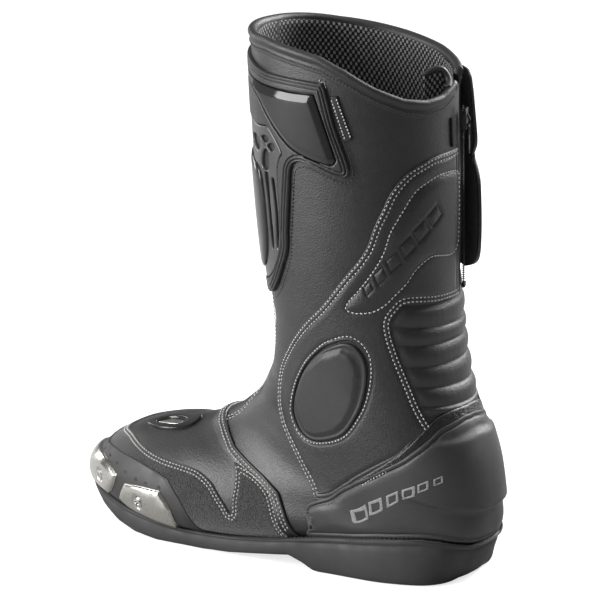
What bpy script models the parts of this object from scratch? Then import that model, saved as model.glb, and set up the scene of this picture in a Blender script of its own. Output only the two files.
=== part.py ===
"""Left motorcycle race boot: separate named parts around one boot form.

Lengths are in millimetres until mesh_object() writes metres.  The toe points
along -Y, +Z is up and the outer side of this left boot is +X.

The form is a row of rings: across the shaft at the top, fanned round the
ankle, across the forefoot at the toe.  A place on it is (s, deg): s counts
rings from the top of the shaft (0) to the toe tip (21), deg goes round the
ring from the front or instep (0) by the outer side (90) to the heel or the
bottom (180).  Every layer of the boot is that form moved in or out.
"""
import math

import bmesh
import bpy
import numpy as np
from mathutils import Vector
from mathutils.geometry import delaunay_2d_cdt

# ---------------------------------------------------------------- dimensions
WORLD_SHIFT = (0.0, 45.2, 0.0)      # puts the origin under the middle of the box

# front/top line y, z   back/bottom line y, z   half widths out, in   centre x
# centre share   roundness of the front and of the back half of the ring
STATIONS = (
    (-38.5, 349.0, 90.0, 319.0, 56.0, 56.0, 0.0, .50, 2.2, 2.2),
    (-39.5, 317.0, 88.0, 287.0, 56.0, 56.0, 0.0, .50, 2.2, 2.2),
    (-40.0, 279.0, 87.5, 251.0, 55.5, 55.5, 0.0, .50, 2.2, 2.2),
    (-40.0, 242.0, 86.5, 216.0, 54.0, 54.0, 0.0, .50, 2.2, 2.2),
    (-39.5, 207.0, 84.0, 181.0, 51.0, 51.0, 0.0, .50, 2.2, 2.2),
    (-37.5, 175.5, 85.0, 147.5, 48.0, 48.0, 0.0, .50, 2.2, 2.3),
    (-38.0, 149.5, 90.0, 118.5, 46.0, 46.0, 0.0, .50, 2.2, 2.3),
    (-41.5, 130.0, 98.5, 93.5, 45.0, 45.0, 0.0, .50, 2.2, 2.3),
    (-48.5, 116.5, 106.0, 71.0, 44.0, 44.0, 0.0, .52, 2.2, 2.3),
    (-57.0, 106.0, 108.5, 49.0, 42.5, 42.5, 0.0, .54, 2.1, 2.4),
    (-66.5, 97.5, 108.5, 31.0, 41.5, 41.5, 0.0, .56, 2.1, 2.6),
    (-77.0, 90.0, 99.5, 19.5, 41.0, 41.0, 0.0, .58, 2.1, 2.8),
    (-89.5, 84.5, 71.5, 17.0, 41.0, 40.0, 1.0, .60, 2.1, 3.2),
    (-103.0, 79.5, 31.5, 15.0, 43.5, 41.0, 1.0, .60, 2.2, 3.0),
    (-117.0, 76.0, -17.0, 12.0, 48.5, 44.0, 1.0, .60, 2.2, 3.1),
    (-131.0, 74.0, -62.0, 9.5, 52.0, 48.0, 0.0, .60, 2.3, 3.2),
    (-146.5, 71.0, -103.0, 9.5, 53.0, 51.0, -1.0, .60, 2.3, 3.2),
    (-161.0, 66.5, -137.0, 13.0, 50.5, 50.0, -3.0, .60, 2.3, 3.2),
    (-174.0, 61.0, -164.0, 18.0, 45.0, 44.0, -6.0, .60, 2.3, 3.1),
    (-185.5, 53.0, -184.5, 24.0, 36.0, 35.0, -8.0, .58, 2.2, 2.8),
    (-196.0, 45.5, -197.0, 30.0, 22.0, 22.0, -10.0, .55, 2.1, 2.4),
    (-203.5, 38.0, -204.0, 36.0, 2.0, 2.0, -11.0, .50, 2.0, 2.0),
)
TOE_TIP = len(STATIONS) - 1

# how far out from the form each layer lies: (inner face, outer face)
LINING = (-5.4, -4.2)
PADDING = (-3.4, -2.3)
SKIN = (-1.4, 0.0)
OVERLAY = (0.5, 1.5)
PATCH = (2.0, 2.9)

ANKLE_PIVOT = (22.5, 122.0)          # y, z of the ankle's flex axis
ANKLE_R = 73.0                       # the cut between foot and shaft
ANKLE_GAP = 0.35                     # each side of that cut
SEAM = 0.4                           # half gap, in degrees, at a butted seam
ZIP_DEG = 201.0
ZIP_HALF_DEG = 7.5
ZIP_TOP_S, ZIP_END_S = 0.95, 4.05
ZIP_LIFT = 1.4                       # lets the straight zip clear the swell of the calf
FLAP_HINGE_DEG = 232.0
FLAP_OPEN_DEG = 4.0

# ring at which the shaft's top edge lies, by angle
RIM = ((-180, .6), (-165, .42), (-150, .28), (-120, .2), (-90, .2), (-45, .25), (0, .2),
       (45, .12), (60, .03), (90, .0), (104, .0), (120, .14), (137, .38),
       (153, .55), (167, .61), (180, .60))
# ring at which the quarters end and the vamp starts
VAMP_EDGE = ((0, 11.7), (14, 11.95), (26, 12.3), (50, 12.4), (72, 12.6),
             (106, 13.15), (127, 13.5), (180, 14.0))
# ring at which the toe bumper starts
BUMPER_EDGE = ((0, 18.25), (37, 18.0), (47, 17.5), (60, 17.2), (67, 16.5),
               (70, 15.9), (72, 15.3), (85, 15.15), (102, 15.25), (125, 15.45), (180, 15.6))
# the cup sole's top edge on the form, from the heel's middle to the toe tip
SOLE_EDGE = ((10.15, 180), (10.2, 172), (10.4, 164), (10.75, 155), (11.2, 148), (11.7, 143.5),
             (12.3, 139), (12.9, 135.5), (13.5, 132.5), (14.1, 130), (14.7, 128),
             (15.3, 125.5), (15.9, 121.5), (16.5, 116.5), (17.1, 111.5), (17.7, 107.5),
             (18.3, 105), (18.9, 104), (19.5, 104), (20.0, 108), (20.4, 122), (20.6, 150),
             (20.65, 180))
SOLE_BOTTOM = ((-210, 28), (-200, 20), (-188, 12.5), (-170, 6), (-145, 1.5), (-118, 0), (-85, 0),
               (-65, 1.2), (-40, 4.5), (-14, 8), (-4, 4.5), (4, .4), (8, 0), (120, 0))

# ------------------------------------------------------------------ materials
MATERIALS = {
    "leather": ((.045, .045, .048), 0.0, .45),
    "leather_soft": ((.05, .05, .053), 0.0, .55),
    "suede": ((.035, .035, .038), 0.0, .9),
    "binding": ((.02, .02, .022), 0.0, .8),
    "tpu_grey": ((.07, .07, .075), 0.0, .5),
    "tpu_black": ((.02, .02, .022), 0.0, .45),
    "rubber_sole": ((.05, .05, .052), 0.0, .75),
    "rubber_grip": ((.025, .025, .027), 0.0, .8),
    "shield_gloss": ((.04, .04, .045), 0.0, .12),
    "satin_grey": ((.35, .36, .37), 0.0, .35),
    "nickel": ((.75, .74, .70), 1.0, .22),
    "steel": ((.6, .6, .62), 1.0, .35),
    "mesh_lining": ((.04, .04, .042), 0.0, .95),
    "foam": ((.12, .12, .12), 0.0, .95),
    "board": ((.3, .24, .17), 0.0, .9),
    "velvet": ((.012, .012, .013), 0.0, 1.0),
    "zip_tape": ((.02, .02, .02), 0.0, .9),
}


# ---------------------------------------------------------------- scene setup
for old in list(bpy.data.objects):
    bpy.data.objects.remove(old, do_unlink=True)
PARTS = bpy.data.collections.new("riding_boots")
bpy.context.scene.collection.children.link(PARTS)


def material(name):
    mat = bpy.data.materials.get(name)
    if mat is None:
        color, metallic, rough = MATERIALS[name]
        mat = bpy.data.materials.new(name)
        mat.use_nodes = True
        shader = mat.node_tree.nodes["Principled BSDF"]
        shader.inputs["Base Color"].default_value = (*color, 1.0)
        shader.inputs["Metallic"].default_value = metallic
        shader.inputs["Roughness"].default_value = rough
        mat.diffuse_color = (*color, 1.0)
    return mat


def world(points):
    return (np.asarray(points, float) + WORLD_SHIFT) / 1000.0


def mesh_object(name, slot, points, faces, origin=None):
    """One closed body: points in mm, wound outward, seated on its own origin."""
    at = world(origin if origin is not None else (0.0, 0.0, 0.0))
    if origin is None:
        at = np.zeros(3)
    mesh = bpy.data.meshes.new(name)
    mesh.from_pydata([tuple(p) for p in world(points) - at], [], faces)
    bm = bmesh.new()
    bm.from_mesh(mesh)
    bmesh.ops.remove_doubles(bm, verts=bm.verts, dist=2e-5)
    bmesh.ops.dissolve_degenerate(bm, edges=bm.edges, dist=1e-5)
    bmesh.ops.triangulate(bm, faces=bm.faces)
    bmesh.ops.recalc_face_normals(bm, faces=bm.faces)
    if bm.calc_volume(signed=True) < 0:
        bmesh.ops.reverse_faces(bm, faces=bm.faces)
    bm.to_mesh(mesh)
    bm.free()
    mesh.materials.append(material(slot))
    obj = bpy.data.objects.new(name, mesh)
    obj.location = Vector(at)
    PARTS.objects.link(obj)
    return obj


# ------------------------------------------------------------------- the form
ROWS = np.array(STATIONS, float)


def ring(s):
    """Catmull-Rom through the stations; a little below 0 carries straight on."""
    s = np.clip(np.asarray(s, float), -0.3, TOE_TIP - 1e-9)
    i = np.clip(np.floor(s).astype(int), 0, TOE_TIP - 1)
    t = (s - i)[..., None]
    last = len(ROWS) - 1
    p0, p1, p2, p3 = (ROWS[np.clip(i + k, 0, last)] for k in (-1, 0, 1, 2))
    p0 = np.where((i == 0)[..., None], 2 * p1 - p2, p0)
    p3 = np.where((i == last - 1)[..., None], 2 * p2 - p1, p3)
    return 0.5 * (2 * p1 + (p2 - p0) * t + (2 * p0 - 5 * p1 + 4 * p2 - p3) * t ** 2
                  + (3 * p1 - p0 - 3 * p2 + p3) * t ** 3)


def bare_form(s, deg):
    s, deg = np.broadcast_arrays(np.asarray(s, float), np.asarray(deg, float))
    ty, tz, by, bz, wide_out, wide_in, x0, share, n_top, n_bottom = np.moveaxis(ring(s), -1, 0)
    c, d = np.cos(np.radians(deg)), np.sin(np.radians(deg))
    length = np.hypot(ty - by, tz - bz) + 1e-9
    half = np.where(c > 0, share, 1 - share) * length
    wide = np.where(d > 0, wide_out, wide_in)
    power = np.where(c > 0, n_top, n_bottom)
    reach = (np.abs(c / half) ** power + np.abs(d / wide) ** power) ** (-1 / power)
    return np.stack([x0 + reach * d,
                     ty + share * (by - ty) + (ty - by) / length * reach * c,
                     tz + share * (bz - tz) + (tz - bz) / length * reach * c], -1)


def form(s, deg, off=0.0):
    """Points on the form moved off millimetres outward."""
    s, deg, off = np.broadcast_arrays(*(np.asarray(v, float) for v in (s, deg, off)))
    ds = (bare_form(np.minimum(s + .02, TOE_TIP), deg)
          - bare_form(np.minimum(s + .02, TOE_TIP) - .04, deg))
    dt = bare_form(s, deg + .5) - bare_form(s, deg - .5)
    out = np.cross(ds, dt)
    out /= np.linalg.norm(out, axis=-1, keepdims=True) + 1e-12
    return bare_form(s, deg) + out * off[..., None]


def table(rows, mirror=False):
    """A smooth look-up; mirror makes it the same on both sides of 0."""
    x, y = np.array(rows, float).T

    def look(value):
        value = (np.asarray(value, float) + 180.0) % 360.0 - 180.0
        return np.interp(np.abs(value) if mirror else value, x, y)
    return look


def along(rows):
    x, y = np.array(rows, float).T
    return lambda value: np.interp(value, x, y)


rim_at = table(RIM)
vamp_edge = table(VAMP_EDGE, mirror=True)
bumper_edge = table(BUMPER_EDGE, mirror=True)
sole_bottom = along(SOLE_BOTTOM)


def ankle_cut(deg, off, shaft):
    """Ring where a layer meets the cut between foot and shaft."""
    deg, off = np.broadcast_arrays(np.asarray(deg, float), np.asarray(off, float))
    radius = ANKLE_R + (ANKLE_GAP if shaft else -ANKLE_GAP)
    s = np.arange(3.0, 6.6, 0.02)
    p = form(s[:, None], deg.ravel()[None, :], off.ravel()[None, :])
    r = np.hypot(p[..., 1] - ANKLE_PIVOT[0], p[..., 2] - ANKLE_PIVOT[1]) - radius
    k = np.argmax(r < 0, axis=0)
    cols = np.arange(r.shape[1])
    r0, r1 = r[k - 1, cols], r[k, cols]
    return (s[k - 1] + 0.02 * r0 / (r0 - r1)).reshape(deg.shape)


# ---------------------------------------------------------------- solid makers
def grid_faces(rows, cols, wrap, start=0, flip=False):
    faces = []
    for i in range(rows - 1):
        for j in range(cols if wrap else cols - 1):
            k = (j + 1) % cols
            quad = [start + i * cols + j, start + i * cols + k,
                    start + (i + 1) * cols + k, start + (i + 1) * cols + j]
            faces.append(quad[::-1] if flip else quad)
    return faces


def shell(name, slot, degs, top, bottom, offs, rows, wrap=False, tip=False, ribs=None, body_origin=None):
    """A layer between two ring lines.

    top and bottom give the ring for (deg, off); wrap closes it round the form
    and tip closes its lower end over the toe.
    """
    degs = np.asarray(degs, float)
    inner, outer = offs
    share = np.linspace(0, 1, rows)[:, None] if np.isscalar(rows) else np.array(rows)[:, None]
    rows = len(share)
    layers = []
    for off in (outer, inner):
        lo, hi = top(degs, off)[None, :], bottom(degs, off)[None, :]
        s = lo + (hi - lo) * share
        lift = off if ribs is None or off is inner else off + ribs(s, degs[None, :])
        layers.append(form(s, degs[None, :], lift).reshape(-1, 3))
    count = len(degs)
    points = np.concatenate(layers)
    second = rows * count
    faces = grid_faces(rows, count, wrap) + grid_faces(rows, count, wrap, second, flip=True)
    last = (rows - 1) * count
    spans = range(count if wrap else count - 1)
    for j in spans:
        k = (j + 1) % count
        faces.append([j, second + j, second + k, k])
        if not tip:
            faces.append([last + j, last + k, second + last + k, second + last + j])
    if tip:
        faces.append([last + j for j in range(count)])
        faces.append([second + last + j for j in range(count)][::-1])
    if not wrap:
        for i in range(rows - 1):
            a, b = i * count, (i + 1) * count
            faces.append([a, b, second + b, second + a])
            a, b = a + count - 1, b + count - 1
            faces.append([a, second + a, second + b, b])
    return mesh_object(name, slot, points, faces, body_origin)


def rounded(points, per=3):
    """Closed smooth line through (s, deg) points; a third value marks a corner."""
    count = len(points)
    flat = [np.array(p[:2], float) for p in points]
    corner = [len(p) > 2 for p in points]
    line = []
    for i in range(count):
        a, b, c, d = (flat[(i + k) % count] for k in (-1, 0, 1, 2))
        if corner[i]:
            a = 2 * b - c
        if corner[(i + 1) % count]:
            d = 2 * c - b
        for t in np.arange(per) / per:
            line.append(0.5 * (2 * b + (c - a) * t + (2 * a - 5 * b + 4 * c - d) * t * t
                               + (3 * b - a - 3 * c + d) * t ** 3))
    return np.array(line)


def inside(points, loop):
    """Even-odd test of many points against one closed line."""
    x, y = points[:, 0:1], points[:, 1:2]
    x0, y0 = loop[:, 0], loop[:, 1]
    x1, y1 = np.roll(x0, -1), np.roll(y0, -1)
    crosses = ((y0 > y) != (y1 > y)) & (x < (x1 - x0) * (y - y0) / (y1 - y0 + 1e-12) + x0)
    return crosses.sum(1) % 2 == 1


def panel(name, slot, loop, offs, holes=(), step=(.3, 9.0), origin=None):
    """A layer cut to an outline given in (s, deg), with or without holes."""
    scale = np.array([9.0 / step[0], 9.0 / step[1]])
    loops = [np.asarray(line) * scale for line in (loop, *holes)]
    low, high = loops[0].min(0), loops[0].max(0)
    mesh_pts = np.stack(np.meshgrid(np.arange(low[0] + 4.5, high[0], 9.0),
                                    np.arange(low[1] + 4.5, high[1], 9.0)), -1).reshape(-1, 2)
    keep = inside(mesh_pts, loops[0])
    for line in loops[1:]:
        keep &= ~inside(mesh_pts, line)
    edge = np.concatenate(loops)
    near = np.linalg.norm(mesh_pts[:, None] - edge[None], axis=-1).min(1)
    mesh_pts = mesh_pts[keep & (near > 3.5)]
    constraints = []
    start = 0
    for line in loops:
        constraints += [(start + i, start + (i + 1) % len(line)) for i in range(len(line))]
        start += len(line)
    flat = [Vector(p) for p in np.concatenate([edge, mesh_pts])]
    verts, _, tris, *_ = delaunay_2d_cdt(flat, constraints, [], 0, 1e-6)
    verts = np.array([tuple(v) for v in verts])
    tris = np.array([t for t in tris if len(t) == 3])
    middle = verts[tris].mean(1)
    good = inside(middle, loops[0])
    for line in loops[1:]:
        good &= ~inside(middle, line)
    tris = tris[good].tolist()
    chart = verts / scale
    count = len(chart)
    points = np.concatenate([form(chart[:, 0], chart[:, 1], offs[1]),
                             form(chart[:, 0], chart[:, 1], offs[0])])
    faces = list(tris) + [[count + i for i in t[::-1]] for t in tris]
    once = {}
    for t in tris:
        for a, b in zip(t, t[1:] + t[:1]):
            once[(a, b)] = once.get((a, b), 0) + 1
    for a, b in once:
        if (b, a) not in once:
            faces.append([b, a, count + a, count + b])
    used = sorted({i for f in faces for i in f})
    new = {old: i for i, old in enumerate(used)}
    return mesh_object(name, slot, points[used], [[new[i] for i in f] for f in faces], origin)


def mirrored(points):
    """The same outline on the other side of the front line."""
    return [(p[0], -p[1], *p[2:]) for p in points][::-1]


def cut_line(deg_a, deg_b, off, shaft, count=8):
    """Outline points, all corners, along the ankle cut."""
    degs = np.linspace(deg_a, deg_b, count)
    return [(s, d, 1) for s, d in zip(ankle_cut(degs, off, shaft), degs)]


def bar(name, slot, frame, size, origin=None, chamfer=0.0):
    """A box on frame (centre, x axis, y axis, z axis) with bevelled long edges."""
    centre, ax, ay, az = frame
    hx, hy, hz = (v / 2 for v in size)
    c = chamfer
    loop = [(-hx, -hz + c), (-hx + c, -hz), (hx - c, -hz), (hx, -hz + c),
            (hx, hz - c), (hx - c, hz), (-hx + c, hz), (-hx, hz - c)]
    if c == 0.0:
        loop = [(-hx, -hz), (hx, -hz), (hx, hz), (-hx, hz)]
    n = len(loop)
    points = [centre + ax * x + ay * y + az * z for y in (-hy, hy) for x, z in loop]
    faces = grid_faces(2, n, True) + [list(range(n))[::-1], [n + i for i in range(n)]]
    return mesh_object(name, slot, points, faces, origin)


def turned(name, slot, centre, axis, rings, count=20, origin=None):
    """A solid of revolution; rings are (height, radius) along axis."""
    axis = axis / np.linalg.norm(axis)
    side = np.cross(axis, (0.0, 0.0, 1.0))
    side /= np.linalg.norm(side)
    up = np.cross(axis, side)
    points = [centre + axis * h + r * (side * math.cos(a) + up * math.sin(a))
              for h, r in rings for a in np.arange(count) * 2 * math.pi / count]
    faces = grid_faces(len(rings), count, True)
    faces += [list(range(count))[::-1], [(len(rings) - 1) * count + i for i in range(count)]]
    return mesh_object(name, slot, points, faces, origin)


def spread(a, b, step):
    return np.linspace(a, b, max(2, int(round((b - a) / step)) + 1))


ROUND = np.concatenate([np.arange(0, 100, 10), np.arange(100, 135, 6.5), np.arange(140, 225, 10),
                        np.arange(227.5, 262, 6.5), np.arange(268, 355, 10)])
ROUND_COARSE = np.arange(0.0, 360.0, 15.0)

# ----------------------------------------------------------------- foot: inside


def foot_cut(deg, off):
    return ankle_cut(deg, off, shaft=False)


def shaft_cut(deg, off):
    return ankle_cut(deg, off, shaft=True)


def fixed(s):
    return lambda deg, off: np.full(np.shape(deg), float(s))


shell("lining_foot", "mesh_lining", ROUND_COARSE, foot_cut,
      lambda d, o: fixed(20.15 if o > -5 else 20.05)(d, o), LINING, 17, wrap=True, tip=True)
panel("insole_board", "board",
      rounded([(11.7, 180), (11.75, 168), (12.1, 157), (13, 148), (15, 144), (17.5, 141), (19.0, 138),
               (19.9, 150), (20.1, 180), (19.9, 210), (19.0, 222), (17.5, 219), (15, 216), (13, 212),
               (12.1, 203), (11.75, 192)]),
      PADDING, holes=[rounded([(12.2, 166, 1), (14.7, 166, 1), (14.7, 194, 1), (12.2, 194, 1)], 4)],
      step=(.7, 11))
panel("steel_shank", "steel",
      rounded([(12.3, 168.5, 1), (14.6, 168.5, 1), (14.6, 191.5, 1), (12.3, 191.5, 1)], 4),
      (-3.0, -2.1), step=(.55, 9))
panel("footbed", "foam",
      rounded([(11.6, 180), (11.65, 170), (12.1, 159), (13, 154), (15, 150), (17.5, 148), (18.8, 149),
               (19.3, 164), (19.4, 180), (19.3, 196), (18.8, 211), (17.5, 212), (15, 210), (13, 206),
               (12.1, 201), (11.65, 190)]),
      (-9.4, -6.6), step=(.8, 12))
panel("toe_stiffener", "board",
      rounded([(16.9, 0), (16.7, 40), (16.5, 80), (16.6, 105), (17.4, 116), (18.6, 118), (19.4, 110),
               (19.6, 60), (19.6, 0), (19.6, -60), (19.4, -110), (18.6, -118), (17.4, -116),
               (16.6, -105), (16.5, -80), (16.7, -40)]),
      PADDING, step=(.5, 11))
panel("heel_stiffener", "board",
      rounded([(7.9, 180), (8.1, 160), (8.6, 138), (9.4, 118), (10.6, 112), (11.0, 128), (10.6, 145),
               (10.4, 160), (10.4, 180), (10.4, 200), (10.6, 215), (11.0, 232), (10.6, 248),
               (9.4, 242), (8.6, 222), (8.1, 200)]),
      (-3.6, -2.7), step=(.35, 8))
ANKLE_FOAM = [(5.7, 95), (5.8, 118), (6.6, 130), (7.6, 127), (8.6, 112), (9.0, 88), (8.9, 65),
              (8.2, 45), (7.0, 48), (6.0, 68)]
panel("ankle_foam_lateral", "foam", rounded(ANKLE_FOAM), PADDING, step=(.5, 10))
panel("ankle_foam_medial", "foam", rounded(mirrored(ANKLE_FOAM)), PADDING, step=(.5, 10))

# ------------------------------------------------------------- foot: outer skin


def quarter_end(deg, off):
    return vamp_edge(deg) - .05


HALF = spread(SEAM, 180 - SEAM, 10)
QUARTER_ROWS = (0, .1, .2, .29, .37, .44, .5, .55, .6, .65, .7, .76, .83, .91, 1)
shell("quarter_lateral_lower", "leather", HALF, foot_cut, quarter_end, SKIN, QUARTER_ROWS)
shell("quarter_medial_lower", "leather", -HALF[::-1], foot_cut, quarter_end, SKIN, QUARTER_ROWS)
shell("vamp", "leather", ROUND, lambda d, o: vamp_edge(d) + .05,
      lambda d, o: fixed(20.8 if o > -1 else 20.6)(d, o), SKIN, 13, wrap=True, tip=True)


def bumper_top(deg, off):
    return bumper_edge(deg)


BUMPER_DEGS = np.concatenate([np.arange(-136, -76, 6.5), [-71.5, -69, -66.5], np.arange(-60, 61, 12),
                              [66.5, 69, 71.5], np.arange(77.5, 137, 6.5), np.arange(146, 220, 11)])
shell("toe_bumper", "tpu_black", BUMPER_DEGS, bumper_top,
      lambda d, o: fixed(20.85 if o > 1 else 20.75)(d, o), (0.8, 2.0), 10, wrap=True, tip=True)
SUEDE = [(17.65, 0), (17.45, 20), (17.1, 33), (16.3, 40), (15.4, 50), (14.8, 53.5), (14.3, 53.5),
         (13.85, 54, 1), (13.83, 66), (13.95, 79), (14.08, 93), (14.25, 104, 1), (13.9, 88),
         (13.45, 70), (13.2, 56), (12.75, 38, 1), (12.55, 50), (12.75, 72), (13.3, 106), (13.62, 125),
         (13.75, 134, 1), (14.6, 131.5), (15.25, 129, 1), (15.1, 118), (15.0, 100), (14.95, 86),
         (14.98, 74, 1), (15.5, 69.5), (16.2, 66), (16.9, 60), (17.25, 49), (17.75, 37), (17.95, 20)]
panel("suede_toe_panel", "suede", rounded(SUEDE + [(18.02, 0)] + mirrored(SUEDE[1:]), 2), (0.7, 1.4),
      step=(.42, 11))

# ----------------------------------------------------- foot: metal toe sliders
PLATE_FRONT = [(16.92, 80, 1), (17.5, 71), (18.6, 65), (19.4, 58), (20.0, 42), (20.3, 25, 1),
               (20.42, 60), (20.38, 93, 1), (19.9, 95), (19.3, 96.5), (18.5, 97.5),
               (17.68, 98.5, 1), (17.3, 90)]
panel("toe_slider_front", "nickel", rounded(PLATE_FRONT), (2.4, 4.0), step=(.35, 8))
PLATE_SIDE = [(16.62, 84, 1), (16.1, 83), (15.5, 84, 1), (15.55, 98), (15.75, 112), (15.9, 119, 1),
              (16.3, 112), (16.9, 104), (17.15, 98, 1), (16.9, 91)]
panel("toe_slider_side", "nickel", rounded(PLATE_SIDE), (2.4, 4.0), step=(.35, 8))


def outward(s, deg):
    step = form(s, deg, 1.0) - form(s, deg, 0.0)
    return step / np.linalg.norm(step)


for label, s, deg in (("front", 17.95, 86), ("side", 16.4, 97)):
    turned("slider_screw_" + label, "steel", form(s, deg, 4.5), outward(s, deg),
           ((0.0, 3.1), (0.8, 3.1), (1.3, 2.5), (1.3, 1.5), (0.7, 1.5)), 16)

# ------------------------------------------------------------------- foot: heel
COUNTER_TOP = [(12.35, 99), (11.9, 91), (10.9, 93), (9.6, 104), (8.9, 118), (8.2, 136), (7.4, 153),
               (6.85, 169), (6.8, 180)]
COUNTER_LOW = [(13.25, 129), (13.0, 120), (12.7, 110)]
COUNTER_BASE = [(10.0, 180), (10.05, 172), (10.2, 164), (10.55, 155), (11.0, 147.5), (11.7, 141.5),
                (12.5, 136)]


def other_side(points):
    return [(p[0], 360 - p[1], *p[2:]) for p in points][::-1]


counter = (COUNTER_TOP + other_side(COUNTER_TOP[:-1]) + other_side(COUNTER_LOW)
           + other_side(COUNTER_BASE[1:]) + COUNTER_BASE + COUNTER_LOW)
panel("heel_counter", "tpu_grey", rounded(counter, 2), (0.95, 2.5), step=(.45, 9))
BIND_TOP = [(12.15, 82), (11.5, 80), (10.4, 82), (9.3, 94), (8.5, 114), (7.8, 136), (7.0, 153),
            (6.5, 168), (6.45, 180)]
BIND_LOW = [(6.72, 180), (6.77, 169), (7.3, 153.2), (8.1, 136), (8.8, 117), (9.5, 102.5), (10.8, 91),
            (11.9, 88.5), (12.3, 92, 1)]
panel("counter_binding", "binding",
      rounded([(12.15, 82, 1)] + BIND_TOP[1:] + other_side(BIND_TOP[1:-1]) + [(12.15, 278, 1)]
              + other_side(BIND_LOW[1:]) + BIND_LOW, 2), (0.5, 1.9), step=(.4, 8))
panel("heel_bumper", "rubber_grip",
      rounded([(7.15, 180), (7.2, 170), (7.5, 164.5), (8.4, 163.5), (9.2, 166), (9.45, 172),
               (9.5, 180), (9.45, 188), (9.2, 194), (8.4, 196.5), (7.5, 195.5), (7.2, 190)], 2),
      (2.9, 7.0), step=(.3, 7))

# ---------------------------------------------------- foot: ankle and rear panels
DISC = [(5.2, 106), (5.35, 120), (5.95, 127), (6.75, 126), (7.6, 116), (8.4, 96), (8.85, 72),
        (8.6, 52), (7.9, 45.5), (7.1, 50), (6.2, 64), (5.55, 84)]
DISC_HOLE = [(5.05, 106), (5.2, 122), (5.9, 130.5), (6.8, 130), (7.8, 119), (8.6, 98), (9.1, 72),
             (8.85, 48), (7.95, 41), (7.0, 46), (6.05, 61), (5.4, 83)]
overlay_low = ([(5.95, 53), (6.7, 40), (7.7, 33.5), (8.9, 33.5), (9.7, 39.5), (10.6, 52), (11.3, 70),
                (11.45, 78, 1), (10.3, 79.5), (9.2, 92), (8.4, 112), (7.7, 134), (6.95, 151, 1),
                (6.6, 149.5), (5.85, 144.5), (5.2, 139.5)]
               + [(s, d, 1) for s, d, _ in cut_line(137, 113, 1.5, False, 5)] + [(5.1, 76)])
panel("ankle_overlay_lateral", "leather", rounded(overlay_low, 2), OVERLAY,
      holes=[rounded(DISC_HOLE, 2)], step=(.35, 9))
panel("ankle_disc_lateral", "tpu_black", rounded(DISC), (0.5, 3.4), step=(.4, 9))
panel("ankle_overlay_medial", "leather", rounded(mirrored(overlay_low), 2), OVERLAY,
      holes=[rounded(mirrored(DISC_HOLE), 2)], step=(.35, 9))
panel("ankle_disc_medial", "rubber_grip", rounded(mirrored(DISC)), (0.5, 2.2), step=(.4, 9))


def ribs(s, deg):
    """Rounded bellows pleats across the back of the ankle."""
    wave = np.abs(np.sin((s - 4.2) * math.pi / .43))
    return 2.2 * wave * np.clip((218 - deg) / 8, 0, 1) * np.clip((deg - 142) / 8, 0, 1)


REAR_LOW = along(((142, 5.0), (147.5, 5.85), (150.5, 6.35), (154, 6.55), (168, 6.3), (180, 6.22),
                  (192, 6.3), (206, 6.55), (209.5, 6.35), (212.5, 5.85), (218, 5.0)))
shell("rear_stretch", "leather_soft", spread(145.5, 214.5, 9),
      lambda d, o: np.maximum(foot_cut(d, 3.4), 4.3), lambda d, o: REAR_LOW(d) - .03,
      (1.1, 1.8), 22, ribs=ribs)

# -------------------------------------------------------------- foot: vamp vent
VENT = [(15.85, 22), (15.2, 10), (14.4, 7.5), (13.4, 8.5), (13.9, 17), (14.6, 23), (15.3, 26)]
VENT_HOLE = [(15.55, 20.5), (15.1, 14), (14.5, 11.5), (14.0, 12.5), (14.3, 17.5), (15.0, 21)]
VENT_FILL = [(15.45, 19.8), (15.08, 15), (14.5, 12.8), (14.15, 13.3), (14.4, 17), (15.0, 19.8)]
panel("vamp_vent_frame", "tpu_black", rounded(VENT), (0.5, 1.8), holes=[rounded(VENT_HOLE)],
      step=(.3, 8))
panel("vamp_vent_insert", "nickel", rounded(VENT_FILL), (0.5, 1.3), step=(.3, 8))

# ------------------------------------------------------------------ foot: sole


def sole_ring(per):
    """The cup's top edge, once round: outer side from the heel, then back."""
    pts = np.array(SOLE_EDGE, float)
    side = []
    for a, b in zip(pts[:-1], pts[1:]):
        for t in np.arange(per) / per:
            side.append(a + (b - a) * t)
    side = np.array(side + [pts[-1]])
    back = side[1:-1][::-1].copy()
    back[:, 1] = 360 - back[:, 1]
    return np.concatenate([side, back])


def floor_gap(s):
    """Clearance of the cup's floor: wider where the toe bumper wraps under."""
    return np.interp(s, (11.0, 12.0, 14.85, 15.1), (.9, .6, .6, 2.6))


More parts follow.
